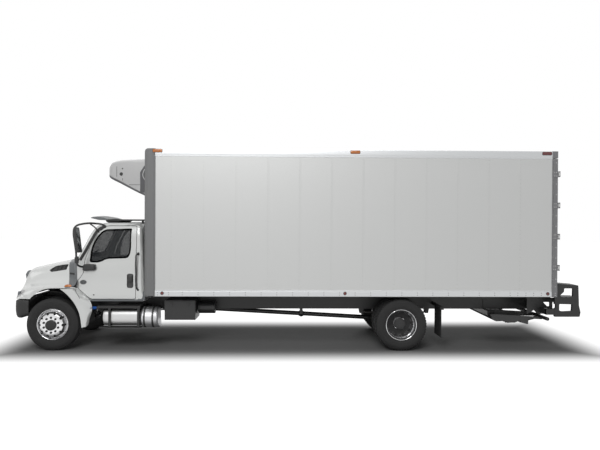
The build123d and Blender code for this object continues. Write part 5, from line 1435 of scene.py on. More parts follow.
class TRUCK_OT_box(bpy.types.Operator):
    """Insulated box: riveted side sheets, rails, corner posts, front wall and roof."""
    bl_idname = "truck.box"
    bl_label = "Box"

    def execute(self, context):
        sizes = box_sizes()
        seams = [sizes.first_seam + sizes.panel * step for step in range(30)]
        self.sides(sizes, [x for x in seams if x < BOX_END - 0.05])
        self.rails(sizes)
        self.ends(sizes)
        return {"FINISHED"}

    def sides(self, sizes, seams):
        """Side sheets that lap at each seam, with a row of rivets along it."""
        wall = Form()
        wall.box((POST_END - .01, BOX_END), (-SHEET_Y, -RAIL_BACK), (1.182, 3.732))
        wall.box((POST_END - .01, BOX_END), (-SHEET_Y - .0012, -SHEET_Y), (1.183, 1.30))
        for x in seams:
            lap = [(x - .018, 0), (x - .018, .0016), (x + .016, .0016), (x + .034, 0)]
            wall.prism([(at(place), -SHEET_Y - out) for place, out in lap], "Z", (1.184, 3.728))
        pair("box_side", wall, "chassis", "box_sheet", replaces=("box_walls",))
        rivets = Form()
        for x in seams:
            for z in span(1.22, 3.70, sizes.rivet):
                rivets.dome((at(x), -SHEET_Y - .0012, z), (0, -1, 0), sizes.rivet_radius, .0028, 6)
        for z in (1.172, 3.745):
            for x in span(2.02, 9.58, .1):
                rivets.dome((at(x), -1.2895, z), (0, -1, 0), sizes.rivet_radius, .0025, 6)
        pair("box_rivets", rivets, "chassis", "box_sheet", "rivet_metal")

    def rails(self, sizes):
        """Extruded rails, the rounded front posts and the bolts in the bottom rail."""
        form = Form()
        along(form, BOTTOM_RAIL, POST_END - .004, BOX_END)
        along(form, TOP_RAIL, POST_END - .004, BOX_END)
        corner = [(POST_FRONT + .090 - math.sin(a) * .090, -RAIL_Y + .090 - math.cos(a) * .090)
                  for a in (math.radians(step * 7.5) for step in range(13))]
        post = [(POST_END, -RAIL_BACK), (POST_END, -1.2875), (1.960, -1.2875), (1.956, -RAIL_Y)] + corner + [
            (POST_FRONT, -RAIL_BACK)]
        upright = Form().prism([(at(x), y) for x, y in post], "Z", (1.056, 3.877))
        upright.prism([(at(x), y) for x, y in post[2:-1]], "Z", (1.052, 1.070))
        solid = cut(raw_object("post", upright), through_side(rounded(
            ((1.70, 1.0), (2.1, 1.0), (2.1, 3.877), (POST_FRONT, 3.877), (POST_FRONT, 1.0)),
            [0, 0, 0, .10, 0], 10)), "INTERSECT")
        pair("box_post", form_of(solid), "chassis", "rail_aluminium", "post_aluminium", crease=25)
        pair("box_rail", form, "chassis", "rail_aluminium", replaces=("box_rails",), crease=25)
        bolts = Form()
        places = [2.03, 2.24] + span(2.50, 8.80, sizes.bolt) + [8.95, 9.11, 9.26, 9.41]
        for x in places:
            for z in (1.092, 1.134):
                bolts.dome((at(x), -RAIL_Y, z), (0, -1, 0), .0082, .004, 8)
        for z in span(1.10, 3.84, .21):
            bolts.dome((at(1.973), -1.2875, z), (0, -1, 0), .006, .003, 8)
        pair("box_bolts", bolts, "chassis", "lock_steel", "dull_bolt")

    def ends(self, sizes):
        """Front wall with its battens, and the roof sheet with its bows."""
        front = Form().box((BOX_FRONT + .004, 1.896), (-RAIL_BACK, RAIL_BACK), (1.056, 3.79))
        for y in (-1.0, -.6, -.2, .2, .6, 1.0):
            front.box((BOX_FRONT + .001, BOX_FRONT + .006), (y - .022, y + .022), (1.10, 3.02))
            for z in span(1.14, 2.98, sizes.rivet * 1.5):
                front.dome((at(BOX_FRONT + .001), y, z), (-1, 0, 0), .0045, .0008, 6)
        for heights in ((1.056, 1.13), (3.76, 3.868)):
            front.box((BOX_FRONT, BOX_FRONT + .02), (-RAIL_BACK, RAIL_BACK), heights)
        piece("box_front", front, "chassis", "box_sheet", replaces=("box_front_wall",), bevel=.001)
        roof = Form().box((BOX_FRONT, BOX_END), (-RAIL_BACK, RAIL_BACK), (3.79, 3.872))
        for x in span(2.1, 9.35, sizes.panel):
            roof.prism([(at(x - .03), 3.872), (at(x - .016), 3.8755), (at(x + .016), 3.8755), (at(x + .03), 3.872)],
                       "Y", (-1.17, 1.17))
        piece("box_roof_sheet", roof, "chassis", "roof_sheet", replaces=("box_roof",), crease=15)


# ---------------------------------------------------------------- rear of the box
DOOR_FACE, DOOR_LOW, DOOR_HIGH = 9.721, 1.326, 3.735
HINGES = [DOOR_LOW + (DOOR_HIGH - DOOR_LOW) * (index + .5) / 4 for index in range(4)]


class TRUCK_OT_box_rear(bpy.types.Operator):
    """Rear portal's fittings, the cargo doors' trim and seals, their locks, and all the box's lamps."""
    bl_idname = "truck.box_rear"
    bl_label = "Box rear and lamps"

    def execute(self, context):
        self.portal()
        self.doors()
        self.locks()
        self.lamps()
        return {"FINISHED"}

    def portal(self):
        """Ribs and bolts on the portal's posts, the dock bumpers and the blank plate."""
        form = Form()
        for x, heights in (((9.613, 9.631), (1.06, 3.84)), ((9.643, 9.716), (1.06, 1.314)),
                           ((9.643, 9.716), (3.749, 3.84))):
            form.box(x, (-1.2955, -1.290), heights)
        pair("rear_post_ribs", form, "chassis", "rear_steel", bevel=.001)
        bolts = Form()
        for z in span(1.40, 3.70, .21):
            bolts.dome((at(9.622), -1.2955, z), (0, -1, 0), .006, .003)
        for z in (1.092, 1.134, 1.26):
            bolts.dome((at(9.680), -1.2955, z), (0, -1, 0), .0085, .005, 10)
        for z in HINGES:
            for x, high in ((9.647, .034), (9.647, -.034), (9.680, .034), (9.680, -.034)):
                bolts.dome((at(x), -1.301, z + high), (0, -1, 0), .009, .005)
        pair("rear_post_bolts", bolts, "chassis", "lock_steel")
        sill = Form()
        for y in (-.62, -.30, .30, .62):
            sill.box((9.721, 9.745), (y - .05, y + .05), (1.085, 1.290))
        piece("rear_bumpers", sill, "chassis", "flap_rubber", bevel=.008)
        tail = Form().box((9.721, 9.728), (-.155, .155), (1.120, 1.215))
        piece("rear_plate", tail, "chassis", "light_grey", "blank_plate", bevel=.002)

    def doors(self):
        """Edge trim and rubber seal round each leaf, with the bolts of its hinge straps."""
        edge, inner = 1.285, .008       # a leaf's two edges, from the centre line
        low, high = DOOR_LOW, DOOR_HIGH
        trim = Form()
        face = (DOOR_FACE, DOOR_FACE + .0035)
        for y, z in (((-edge, -edge + .045), (low, high)), ((-inner - .045, -inner), (low, high)),
                     ((-edge, -inner), (low, low + .06)), ((-edge, -inner), (high - .05, high))):
            trim.box(face, y, z)
        for z in span(low + .03, high - .025, .15):
            for y in (-edge + .022, -inner - .022):
                trim.dome((at(face[1]), y, z), (1, 0, 0), .005, .0025, 6)
        pair("cargo_door_trim", trim, "{}_cargo_door", "rail_aluminium", bevel=.0006)
        side, studs = Form(), Form()
        side.box((9.645, 9.718), (-edge - .0035, -edge), (low + .004, high - .004))
        side.box((9.652, 9.664), (-edge - .0055, -edge), (low + .004, high - .004))
        for z in span(low + .08, high - .08, .21):
            studs.dome((at(9.690), -edge - .0035, z), (0, -1, 0), .010, .004, 10)
        pair("cargo_door_edge", side, "{}_cargo_door", "rear_steel", bevel=.0008)
        pair("cargo_door_studs", studs, "{}_cargo_door", "lock_steel")
        ring = [(-edge + .004, low + .004), (-inner - .004, low + .004), (-inner - .004, high - .004),
                (-edge + .004, high - .004)]
        centre = Vector((-(edge + inner) / 2, (low + high) / 2))
        rows = [[(at(x), y + (pull if y < centre.x else -pull), z + (pull if z < centre.y else -pull))
                 for y, z in ring] for x, pull in (
            (9.643, .0), (9.641, -.005), (9.6395, -.004), (9.639, .012), (9.645, .02))]
        pair("cargo_door_seal", Form().skin(rows + rows[:1], closed=True), "{}_cargo_door", "flap_rubber",
             "seal_rubber")
        bolts = Form()
        for z in HINGES:
            for y in (1.14, 1.18, 1.23):
                for lift in (-.014, .014):
                    bolts.dome((at(DOOR_FACE + .008), -y, z + lift), (1, 0, 0), .0075, .005)
        pair("cargo_hinge_bolts", bolts, "{}_cargo_door", "lock_steel")

    def locks(self):
        """Lock rods in their saddles, cams at both ends, and the handles in their keepers."""
        form = Form()
        face = DOOR_FACE
        saddle = ((0, .042, .026), (.006, .042, .026), (.008, .022, .026), (.034, .016, .022), (.034, 0, .022))
        for y in (.260, .900):
            form.rod((at(face + .020), -y, 1.342), (at(face + .020), -y, 3.719), .013, 16)
            for z in (1.406, 1.75, 2.55, 3.655):
                form.skin([[(at(face + out), -y + s * half, z + t * high) for out, half, high in saddle]
                           for s, t in ((-1, -1), (-1, 1), (1, 1), (1, -1), (-1, -1))])
                for s in (-1, 1):
                    form.dome((at(face + .006), -y + s * .032, z), (1, 0, 0), .007, .005, 8)
            for z, turn in ((1.352, -1), (3.709, 1)):
                form.prism([(at(face + .006), -y - .020), (at(face + .034), -y - .020), (at(face + .034), -y + .020),
                            (at(face + .020), -y + .034), (at(face + .006), -y + .020)], "Z",
                           sorted((z, z - turn * .022)))
            form.pipe(smooth_line([(at(face + .020), -y, 2.078), (at(face + .027), -y - .03, 2.078),
                                   (at(face + .028), -y - .12, 2.078), (at(face + .027), -y - .225, 2.078)], 4),
                      [.012] * 9 + [.0135] * 4, 10)
            form.box((face, face + .005), (-y - .245, -y - .175), (2.035, 2.121))
            form.box((face + .004, face + .033), (-y - .228, -y - .190), (2.050, 2.064))
            form.box((face + .004, face + .020), (-y - .215, -y - .203), (2.092, 2.112))
        pair("cargo_lock", form, "{}_cargo_door", "lock_steel", replaces=("cargo_locks_{}",), bevel=.001)

    def lamps(self):
        """Round lamps on the bottom rails, oblong ones along the top, and the tail lamps in the sill."""
        base = Form()
        low, high = 1.123, 3.832
        red, amber = Form(), Form()
        for x in (2.118, 5.605, 9.536):
            profile = [(-.001, .0), (-.001, .034), (-.004, .034), (-.0065, .030), (-.0065, .028)]
            base.turn(profile, (at(x), -RAIL_Y, low), 24)
            red.turn([(-.0063, .0285), (-.0085, .024), (-.0098, .012), (-.010, .0)], (at(x), -RAIL_Y, low), 24)
        for x, form in ((2.024, amber), (5.791, amber), (9.505, red)):
            for target, grow, front, back in ((base, 0, .0045, 0.0), (form, .005, .0118, .0042)):
                ring = rounded([(x + s * (.097 - grow), high + t * (.034 - grow)) for s, t in CORNERS], .026, 5)
                target.skin([[(at(x + (p.x - x) * pull), -RAIL_Y - depth, high + (p.y - high) * pull) for p in ring]
                             for depth, pull in ((back, 1.0), (front * .8, .985), (front, .90))], closed=True,
                            ends=True)
        rear_base, rear_red = Form(), Form()
        for y in (-1.15, -.17, 0.0, .17, 1.15):
            rear_base.box((9.721, 9.7245), (y - .05, y + .05), (3.807, 3.847))
            rear_red.skin([[(at(x), y + s * (.046 - pull), 3.827 + t * (.016 - pull)) for s, t in CORNERS]
                           for x, pull in ((9.7243, 0), (9.731, .002), (9.733, .007))], closed=True, ends=True)
        for y in (-.84, .84):
            for step in (-.065, .065):
                rear_base.turn([(.0, .0), (.0, .056), (.006, .056), (.009, .050)], (at(9.721), y + step, 1.20), 28, "X")
                rear_red.turn([(.0085, .0505), (.013, .044), (.016, .02), (.0165, .0)],
                              (at(9.721), y + step, 1.20), 28, "X")
        pair("side_lamp_base", base, "chassis", "black_plastic", replaces=("marker_lamps",))
        pair("side_lamp_red", red, "chassis", "lamp_lens", "red_lens")
        pair("side_lamp_amber", amber, "chassis", "lamp_lens", "amber_lens")
        piece("tail_base", rear_base, "chassis", "black_plastic")
        piece("tail_red", rear_red, "chassis", "lamp_lens", "red_lens", bevel=.001)


# ---------------------------------------------------------------- cooling unit
UNIT = [  # place, half width, top, foot of the white panels, corner
    (.942, .700, 3.500, 3.468, .012), (.948, .738, 3.536, 3.438, .040), (.970, .800, 3.580, 3.400, .070),
    (1.015, .858, 3.628, 3.364, .085), (1.09, .908, 3.662, 3.326, .080), (1.20, .938, 3.684, 3.275, .070),
    (1.35, .949, 3.694, 3.198, .060), (1.58, .950, 3.706, 3.080, .055), (1.796, .950, 3.714, 2.985, .055)]


class TRUCK_OT_reefer(bpy.types.Operator):
    """Cooling unit on the box's front wall, with its grilles, latches and lines."""
    bl_idname = "truck.reefer"
    bl_label = "Cooling unit"

    def execute(self, context):
        shell = raw_object("reefer_shell", self.hull(UNIT, 6))
        tree = tree_of(shell)
        finish(shell, "chassis", "reefer_white", replaces=("reefer_housing",), crease=32)
        trim = self.hull([(x, half - .002, low + .018, low - .034, corner) for x, half, _, low, corner in UNIT], 5)
        for y in (-.76, -.70, .64):
            trim.rod((at(1.775), y, 1.010), (at(1.775), y, 3.03), .016, 12)
            for z in (1.125, 1.825, 2.525):
                trim.box((1.752, 1.796), (y - .024, y + .024), (z - .018, z + .018))
        piece("reefer_trim", trim, "chassis", "reefer_grey", replaces=("reefer_base",), crease=32)
        side = plate(Form(), (-.956, -.90), (1.611, 3.06), (1.611, 3.452), (1.690, 3.572), (1.794, 3.610),
                     (1.794, 3.03), radius=.012)
        pair("reefer_corner", side, "chassis", "reefer_grey", bevel=.003)
        grip = Form().pipe(smooth_line([(at(x), -y, z) for x, y, z in (
            (1.722, .950, 3.535), (1.706, .972, 3.505), (1.676, .976, 3.44), (1.672, .976, 3.37),
            (1.700, .972, 3.31), (1.720, .950, 3.280))], 5), .009, 10)
        pair("reefer_handle", grip, "chassis", "reefer_white")
        seams = Form()
        for path in ([(1.149, 3.36), (1.149, 3.56)], [(1.39, 3.203), (1.50, 3.203), (1.608, 3.203)],
                     [(1.265, 3.285), (1.266, 3.33)]):
            seams.join(strip_on(tree, [(at(x), -1.2, z) for x, z in path], (0, 1, 0), 0.0, .008, .0012))
        for x, z, size in ((1.240, 3.413, .034), (1.265, 3.518, .013)):
            seams.dome(*land(tree, (at(x), -1.2, z), (0, 1, 0)), size, .010, 12)
        pair("reefer_latches", seams, "chassis", "black_plastic")
        self.grilles(tree)
        return {"FINISHED"}

    def ring(self, x, half, top, low, corner):
        """Section of the casing at one place, rounder at its top corners than at its foot."""
        outline = ((-half, low), (half, low), (half, top), (-half, top))
        reach = min(corner, (top - low) * .45)
        return [(at(x), p.x, p.y) for p in rounded(outline, [reach * .4, reach * .4, reach, reach], 5)]

    def hull(self, sections, steps):
        return Form().skin(smooth_rows([self.ring(*row) for row in sections], 1, steps), closed=True, ends=True)

    def grilles(self, tree):
        """Louvres across the nose and the outlet's slats on top."""
        back, down = (1, 0, 0), (0, 0, -1)
        strips = [([(at(.6), y, z) for y in span(-.56, .56, .08)], back, .013, .007) for z in span(3.425, 3.585, .027)]
        strips += [([(at(.6), y, z) for z in span(3.415, 3.595, .03)], back, .018, .009) for y in span(-.56, .56, .28)]
        strips += [([(at(x), y, 4.0) for y in (-.62, -.3, 0, .3, .62)], down, .016, .006)
                   for x in span(1.26, 1.62, .036)]
        strips += [([(at(x), y, 4.0) for x in (1.235, 1.40, 1.645)], down, .022, .008) for y in (-.64, 0.0, .64)]
        slats = Form()
        for path, aim, width, height in strips:
            slats.join(strip_on(tree, path, aim, 0.0, width, height))
        piece("reefer_louvres", slats, "chassis", "reefer_grey")


# ---------------------------------------------------------------- tanks, canister, boxes and flaps
class TRUCK_OT_side(bpy.types.Operator):
    """Fuel tanks, exhaust canister, lines behind the cab, lids of the side boxes and clamps of the flaps."""
    bl_idname = "truck.side"
    bl_label = "Side equipment"

    def execute(self, context):
        self.tanks()
        self.canister()
        self.cab_back()
        self.flaps()
        return {"FINISHED"}

    def tanks(self):
        """Fuel tanks with their straps, brackets, steps, caps and filler necks."""
        def ring(x, pull, grow=0.0):
            high, wide = .162 + grow - pull, .180 + grow - pull
            outline = [(-.940 + s * wide, .625 + t * high) for s, t in CORNERS]
            return [(at(x), p.x, p.y) for p in rounded(outline, .14, 7)]

        tank = Form().skin([ring(x, pull) for x, pull in (
            (.938, .075), (.936, .045), (.937, .030), (.944, .012), (.956, .003), (.970, .0), (.976, .0), (.978, .003),
            (.984, .003), (.986, .0), (1.600, .0), (1.602, .003), (1.608, .003), (1.610, .0), (1.616, .0),
            (1.630, .003), (1.642, .012), (1.648, .030), (1.649, .045), (1.647, .075))], closed=True, ends=True)
        for x in (1.16, 1.52):
            tank.rod((at(x), -.94, .779), (at(x), -.94, .806), .016, 12)
        pair("fuel_tank", tank, "chassis", "tank_aluminium", replaces=("fuel_tanks",), crease=30)
        form = Form()
        for x in (1.080, 1.632):
            for low, high, grow in ((-.022, .022, .004), (-.013, .013, .007)):
                start = ring(x + low, 0, .0003)
                form.skin([start, ring(x + low, 0, grow), ring(x + high, 0, grow), ring(x + high, 0, .0003), start],
                          closed=True)
            for y, z in (((-1.128, -.436), (.7915, .811)), ((-1.148, -1.126), (.440, .811)),
                         ((-.756, -.436), (.565, .74))):
                form.box((x - .022, x + .022), y, z)
            form.rod((at(x), -1.127, .60), (at(x), -1.127, .66), .012, 10)
        self.step(form, (.846, 1.668), (-1.148, -.90), (.811, .853))
        self.step(form, (.880, 1.690), (-1.148, -1.0), (.430, .452))
        pair("tank_steps", form, "chassis", "black_steel", replaces=("tank_brackets",), bevel=.0012)
        cap = Form().turn([(.750, .0), (.750, .022), (.754, .028), (.800, .028), (.802, .024), (.824, .024),
                           (.826, .0)], (at(0), -1.100, .812), 24, "X")
        pair("tank_cap", cap, "chassis", "grey_plastic", "blue_plastic", crease=40)
        neck = Form().pipe(smooth_line([(at(.820), -1.100, .812), (at(.850), -1.095, .800), (at(.890), -1.05, .745),
                                        (at(.940), -1.0, .700)], 4), .020, 12)
        pair("tank_neck", neck, "chassis", "black_steel")

    def step(self, form, x, y, z):
        """Step plate with rolled edges and rows of raised grip teeth."""
        section = [(y[0], z[0]), (y[0], z[1] - .006), (y[0] + .006, z[1]), (y[1], z[1]), (y[1], z[1] - .012),
                   (y[0] + .02, z[1] - .012), (y[0] + .012, z[0])]
        along(form, section, *x)
        for place in span(x[0] + .03, x[1] - .03, .045):
            for out in span(y[0] + .03, y[1] - .03, .05):
                form.dome((at(place), out, z[1]), (0, 0, 1), .011, .0035, 6)

    def canister(self):
        """Round canister with rolled rims and its slanted outlet cone, held by two bands."""
        centre, low = (at(0), -.930, .613), 1.672
        form = Form().turn([(low, .0), (low, .150), (low + .002, .190), (low + .012, .200), (low + .028, .2035),
                            (low + .034, .2005), (1.926, .2005), (1.930, .2045), (1.946, .2045), (1.950, .2005),
                            (1.966, .199), (1.974, .192), (1.985, .180), (1.985, .0)], centre, 72, "X")
        form.skin([[(at(x - math.sin(a) * radius * tilt), -.930 + math.cos(a) * radius,
                     .613 - drop + math.sin(a) * radius) for a in circle(48)] for x, radius, drop, tilt in (
            (1.968, .194, .0, .0), (1.978, .184, .014, .04), (1.990, .160, .038, .09), (1.996, .132, .064, .13),
            (1.997, .118, .076, .15))], closed=True, ends=True)
        piece("exhaust_can", form, "chassis", "canister_metal", replaces=("exhaust_canister",), crease=28)
        band = Form()
        for x in (1.735, 1.895):
            band.turn([(x - .018, .2008), (x - .018, .2035), (x + .018, .2035), (x + .018, .2008), (x - .018, .2008)],
                      centre, 64, "X")
            band.box((x - .018, x + .018), (-.745, -.436), (.68, .74))
        band.pipe(smooth_line([(at(1.80), -.74, .72), (at(1.80), -.60, .76), (at(1.78), -.48, .70),
                               (at(1.60), -.45, .66)], 5), .045, 14)
        piece("exhaust_bands", band, "chassis", "canister_metal", "shaft_steel")

    def cab_back(self):
        """Grey fairing at the cab's rear lower corner, with the cables and brackets behind the cab."""
        form = plate(Form(), (-1.030, -.90), (1.645, 1.115), (1.590, .965), (1.600, .952), (1.728, .952),
                     (1.736, 1.01), (1.728, 1.10), (1.71, 1.125), radius=.012)
        pair("cab_fairing", form, "chassis", "grey_plastic", bevel=.003)
        lines = Form()
        for y, sag in ((-.50, .05), (-.44, .09), (.46, .07)):
            lines.pipe(smooth_line([(at(1.72), y, 1.62), (at(1.745), y - .02, 1.45 - sag), (at(1.765), y - .04, 1.25),
                                    (at(1.775), y - .05, 1.06)], 6), .011, 8)
        for y in (-.96, -.90, .90, .96):
            lines.pipe(smooth_line([(at(1.782), y, z) for z in (1.06, 1.9, 2.6, 3.03)], 3), .010, 8)
        for side in (-1, 1):
            for z in (1.35, 1.62, 1.95, 2.20, 2.45):
                lines.box((1.766, 1.797), one_side(side, .885, 1.02), (z, z + .035))
                lines.box((1.745, 1.770), one_side(side, .985, 1.01), (z - .02, z + .05))
            lines.box((1.728, 1.766), one_side(side, .87, .975), (1.14, 2.43))
            for z in (1.30, 1.72, 2.08, 2.36):
                lines.pipe(smooth_line([(at(1.722), side * .99, z - .10), (at(1.704), side * .985, z),
                                        (at(1.722), side * .99, z + .10)], 5), .012, 8)
        piece("cab_back_lines", lines, "chassis", "black_plastic")

    def flaps(self):
        """Fasteners of the mud flaps, and the lids and catches of the side boxes."""
        form = Form()
        for y in span(-1.19, -.80, .13):
            form.dome((at(7.473), y, .825), (-1, 0, 0), .011, .006, 8)
        form.box((7.466, 7.473), (-1.225, -.765), (.805, .845))
        pair("flap_clamp", form, "chassis", "black_steel", bevel=.001)
        lids = Form()
        plate(lids, (-.986, -.979), (2.115, .58), (2.685, .58), (2.685, .92), (2.115, .92), radius=.02)
        for x in (2.24, 2.56):
            plate(lids, (-.998, -.984), (x - .02, .83), (x + .02, .83), (x + .02, .90), (x - .02, .90), radius=.008)
        pair("side_box_lid", lids, "chassis", "black_plastic", bevel=.002)


# ---------------------------------------------------------------- rear steps and liftgate
CHEEK = [(9.721, 1.321), (10.137, 1.287), (10.141, 1.22), (10.153, .893), (10.176, .80), (10.184, .76), (10.168, .685),
         (10.155, .676), (9.675, .676), (9.675, 1.048), (9.721, 1.048)]
CHEEK_WINDOWS = ([(9.861, 1.226), (10.036, 1.226), (10.033, 1.061), (9.81, 1.061), (9.782, 1.091), (9.858, 1.161)],
                 [(9.766, .923), (10.021, .917), (10.013, .789), (9.83, .779), (9.766, .800)],
                 [(9.577, .923), (9.700, .923), (9.700, .842), (9.658, .840)])
GUSSET = [(9.25, 1.054), (9.72, 1.054), (9.72, 1.010), (9.81, 1.010), (9.81, .690), (9.46, .690), (9.393, .764),
          (9.25, .680)]
PLATFORM_DECK = [(8.60, .565), (8.655, .528), (8.857, .522), (8.888, .492), (9.10, .508), (9.155, .525), (9.166, .498),
                 (9.322, .460), (9.335, .545), (9.10, .545), (8.62, .575)]
PLATFORM_EDGE = [(8.56, .66), (8.605, .56), (8.678, .519), (8.863, .525), (8.905, .489), (9.07, .499), (9.163, .535),
                 (9.18, .499), (9.329, .468), (9.335, .575), (9.60, .560), (9.638, .585), (9.60, .612), (8.70, .66)]


class TRUCK_OT_rear(bpy.types.Operator):
    """Rear step frames with their grip treads, the liftgate's folded platform and its arms' fittings."""
    bl_idname = "truck.rear"
    bl_label = "Rear steps and liftgate"

    def execute(self, context):
        for side, label in SIDES:
            self.cheeks(side, label)
        treads = Form()
        for outline in ([(9.735, 1.284), (9.735, 1.319), (10.130, 1.286), (10.130, 1.250)],
                        [(9.80, 1.020), (9.80, 1.056), (10.140, 1.052), (10.140, 1.016)],
                        [(9.735, .690), (9.735, .728), (10.160, .728), (10.160, .690)]):
            plate(treads, (-1.232, -.950), *outline)
            (x0, z0), (x1, z1) = outline[1], outline[2]
            for share in span(.06, .94, .10):
                for y in span(-1.20, -.98, .055):
                    treads.dome((at(x0 + (x1 - x0) * share), y, z0 + (z1 - z0) * share), (0, 0, 1), .013, .0035, 6)
        treads.box((10.10, 10.148), (-1.232, -.950), (.940, 1.020))
        pair("rear_step_treads", treads, "chassis", "black_steel")
        lift, arm = Form(), -.560
        for x, z, size in ((8.700, .650, .040), (9.590, .615, .030)):
            lift.turn([(-.040, 0), (-.040, size), (-.034, size + .004), (.034, size + .004), (.040, size),
                       (.040, 0)], (at(x), arm, z), 24)
        plate(lift, (arm - .022, arm + .022), (8.78, .688), (9.46, .655), (9.46, .664), (8.78, .704))
        pair("lift_arm_fittings", lift, "liftgate_arms", "lift_steel", bevel=.001)
        leaf = plate(plate(Form(), (-.894, -.880), *PLATFORM_EDGE), (-.881, .0), *PLATFORM_DECK)
        for y in span(-.80, -.08, .12):
            leaf.box((8.90, 9.10), (y - .012, y + .012), (.480, .500))
        leaf.turn([(-.030, .0365), (-.030, .055), (.030, .055), (.030, .0365), (-.030, .0365)], (at(9.59), -.73, .615),
                  32)
        plate(leaf, (-.760, -.700), (9.28, .540), (9.28, .500), (9.335, .500), (9.57, .560), (9.545, .600))
        pair("lift_platform", leaf, "liftgate_platform", "lift_steel", replaces=("liftgate_platform",), bevel=.0015)
        return {"FINISHED"}

    def cheeks(self, side, label):
        """Open side frame in heavy plate, its arm, cross beam and gusset."""
        form = plate(Form(), (-1.288, -1.230), *CHEEK, radius=.012)
        plate(form, (-1.006, -.99), *GUSSET, radius=.01)
        obj = raw_object(f"rear_step_{label}", form if side < 0 else form.flipped())
        for window in CHEEK_WINDOWS:
            cut(obj, through_side(rounded(window, .012, 4), one_side(side, .93, 1.30)))
        more = Form()
        for x, y, z in (((9.51, 9.725), (-1.286, -1.232), (.716, .826)), ((9.51, 9.57), (-1.286, -.436), (.716, .826)),
                        ((9.51, 9.57), (-.496, -.434), (.716, 1.054))):
            more.box(x, y, z)
        for x, z in ((9.76, 1.29), (10.10, 1.265), (9.745, .98), (10.09, .98), (10.10, .73), (9.75, .73)):
            more.dome((at(x), -1.288, z), (0, -1, 0), .013, .007, 6)
        add = raw_object("more", more if side < 0 else more.flipped())
        made = form_of(obj).join(form_of(add))
        piece(f"rear_step_{label}", made, "chassis", "black_steel", replaces=("rear_step_frames",), bevel=.003)


# ---------------------------------------------------------------- seats
SEATS = (("driver", -.480, .500), ("bench", .420, .800))      # name, middle across the truck, width
SWELL_PRESSURE, SWELL_FRAMES, SWELL_MOST = 4.0, 20, .022      # the pads' cloth: how hard, how long, how far


class TRUCK_OT_seats(bpy.types.Operator):
    """Padded seats on their boxes, with sewn piping across them."""
    bl_idname = "truck.seats"
    bl_label = "Seats"

    def execute(self, context):
        pads = []
        for name, y, width in SEATS:
            half = width / 2 - .020
            foot = rounded(((1.00, 1.005), (1.42, 1.005), (1.46, 1.332), (.98, 1.332)), .02, 3)
            box = Form().prism(side_outline(foot), "Y", (y - half + .01, y + half - .01))
            piece(f"seat_box_{name}", box, "chassis", "interior_grey", replaces=("seats",), bevel=.004)
            for part, outline, radius in (
                    ("cushion", ((.985, 1.345), (1.465, 1.338), (1.455, 1.425), (.985, 1.440)), .03),
                    ("back", ((1.412, 1.462), (1.492, 1.462), (1.556, 2.095), (1.500, 2.100)), .025)):
                form = Form().prism(side_outline(rounded(outline, radius, 4)), "Y", (y - half, y + half))
                pads.append((raw_object(f"seat_{part}_{name}", form), part, y, half))
        self.swell([pad for pad, _, _, _ in pads])
        for obj, part, y, half in pads:
            finish(obj, "chassis", "seat_cloth", replaces=("seats",), crease=60)
            self.channels(obj, part, y, half)
        return {"FINISHED"}

    def swell(self, pads):
        """Blows the pads up as cloth, holds back the points that go too far, and smooths them."""
        for obj in pads:
            step = obj.modifiers.new("even", "REMESH")
            step.mode, step.voxel_size = "VOXEL", .012
            settle(obj)
        starts = [[v.co.copy() for v in obj.data.vertices] for obj in pads]
        scene = bpy.context.scene
        for obj in pads:
            cloth = obj.modifiers.new("cloth", "CLOTH").settings
            cloth.use_pressure, cloth.uniform_pressure_force = True, SWELL_PRESSURE
            cloth.effector_weights.gravity = 0.0
        for step in range(1, SWELL_FRAMES + 1):
            scene.frame_set(step)
        for obj, start in zip(pads, starts):
            settle(obj)
            for point, before in zip(obj.data.vertices, start):
                move = point.co - before
                if move.length > SWELL_MOST:
                    point.co = before + move * (SWELL_MOST / move.length)
        scene.frame_set(1)
        for obj in pads:
            obj.modifiers.new("smooth", "SUBSURF").levels = 1
            settle(obj)

    def channels(self, obj, part, y, half):
        """Sewn piping across the pad."""
        tree = tree_of(obj)
        name = obj.name.replace("seat_", "seat_piping_")
        made = Form()
        for share in (-.55, .55):
            out = y + half * share
            if part == "cushion":
                path, aim = [(at(x), out, 1.6) for x in span(1.01, 1.40, .06)], (0, 0, -1)
            else:
                path, aim = [(at(1.30), out, z) for z in span(1.50, 2.06, .08)], (1, 0, 0)
            made.join(strip_on(tree, path, aim, 0.0, .009, .003))
        if part == "back":
            path = [(at(1.30), p, 1.90) for p in span(y - half * .9, y + half * .9, .06)]
            made.join(strip_on(tree, path, (1, 0, 0), 0.0, .009, .003))
        piece(name, made, "chassis", "seat_cloth", "seal_rubber")


# ---------------------------------------------------------------- the frame's own nodes
DRESSED = {  # node: its finish and the width of its softened edges
    "frame_rails": ("black_frame", 0.002), "frame_cross_members": ("black_frame", 0.002),
    "front_axle": ("black_frame", 0.004), "rear_axle": ("black_frame", 0.004),
    "leaf_springs": ("spring_steel", 0.001), "driveline": ("shaft_steel", 0.002),
    "engine": ("engine_grey", 0.008), "hood_hinge_plates": ("black_frame", 0.001),
    "dashboard": ("interior_grey", 0.004), "box_floor": ("floor_aluminium", 0.002),
    "liftgate_mount": ("black_frame", 0.002), "tie_rod": ("shaft_steel", 0.001),
    "knuckle_left": ("shaft_steel", 0.003), "knuckle_right": ("shaft_steel", 0.003),
    "box_rear_frame": ("rear_steel", 0.003), "cargo_door_left": ("box_sheet", 0.003),
    "cargo_door_right": ("box_sheet", 0.003), "liftgate_arms": ("lift_steel", 0.003),
    "side_boxes": ("black_plastic", 0.012), "mud_flaps": ("flap_rubber", 0.002)}


class TRUCK_OT_rest(bpy.types.Operator):
    """Finish of the frame's own nodes that stay."""
    bl_idname = "truck.rest"
    bl_label = "Frame finishes"

    def execute(self, context):
        for node, (name, bevel) in DRESSED.items():
            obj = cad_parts[node]
            obj.data.materials.clear()
            obj.data.materials.append(finishes(name)[0])
            soften(obj, bevel, 40)
        return {"FINISHED"}


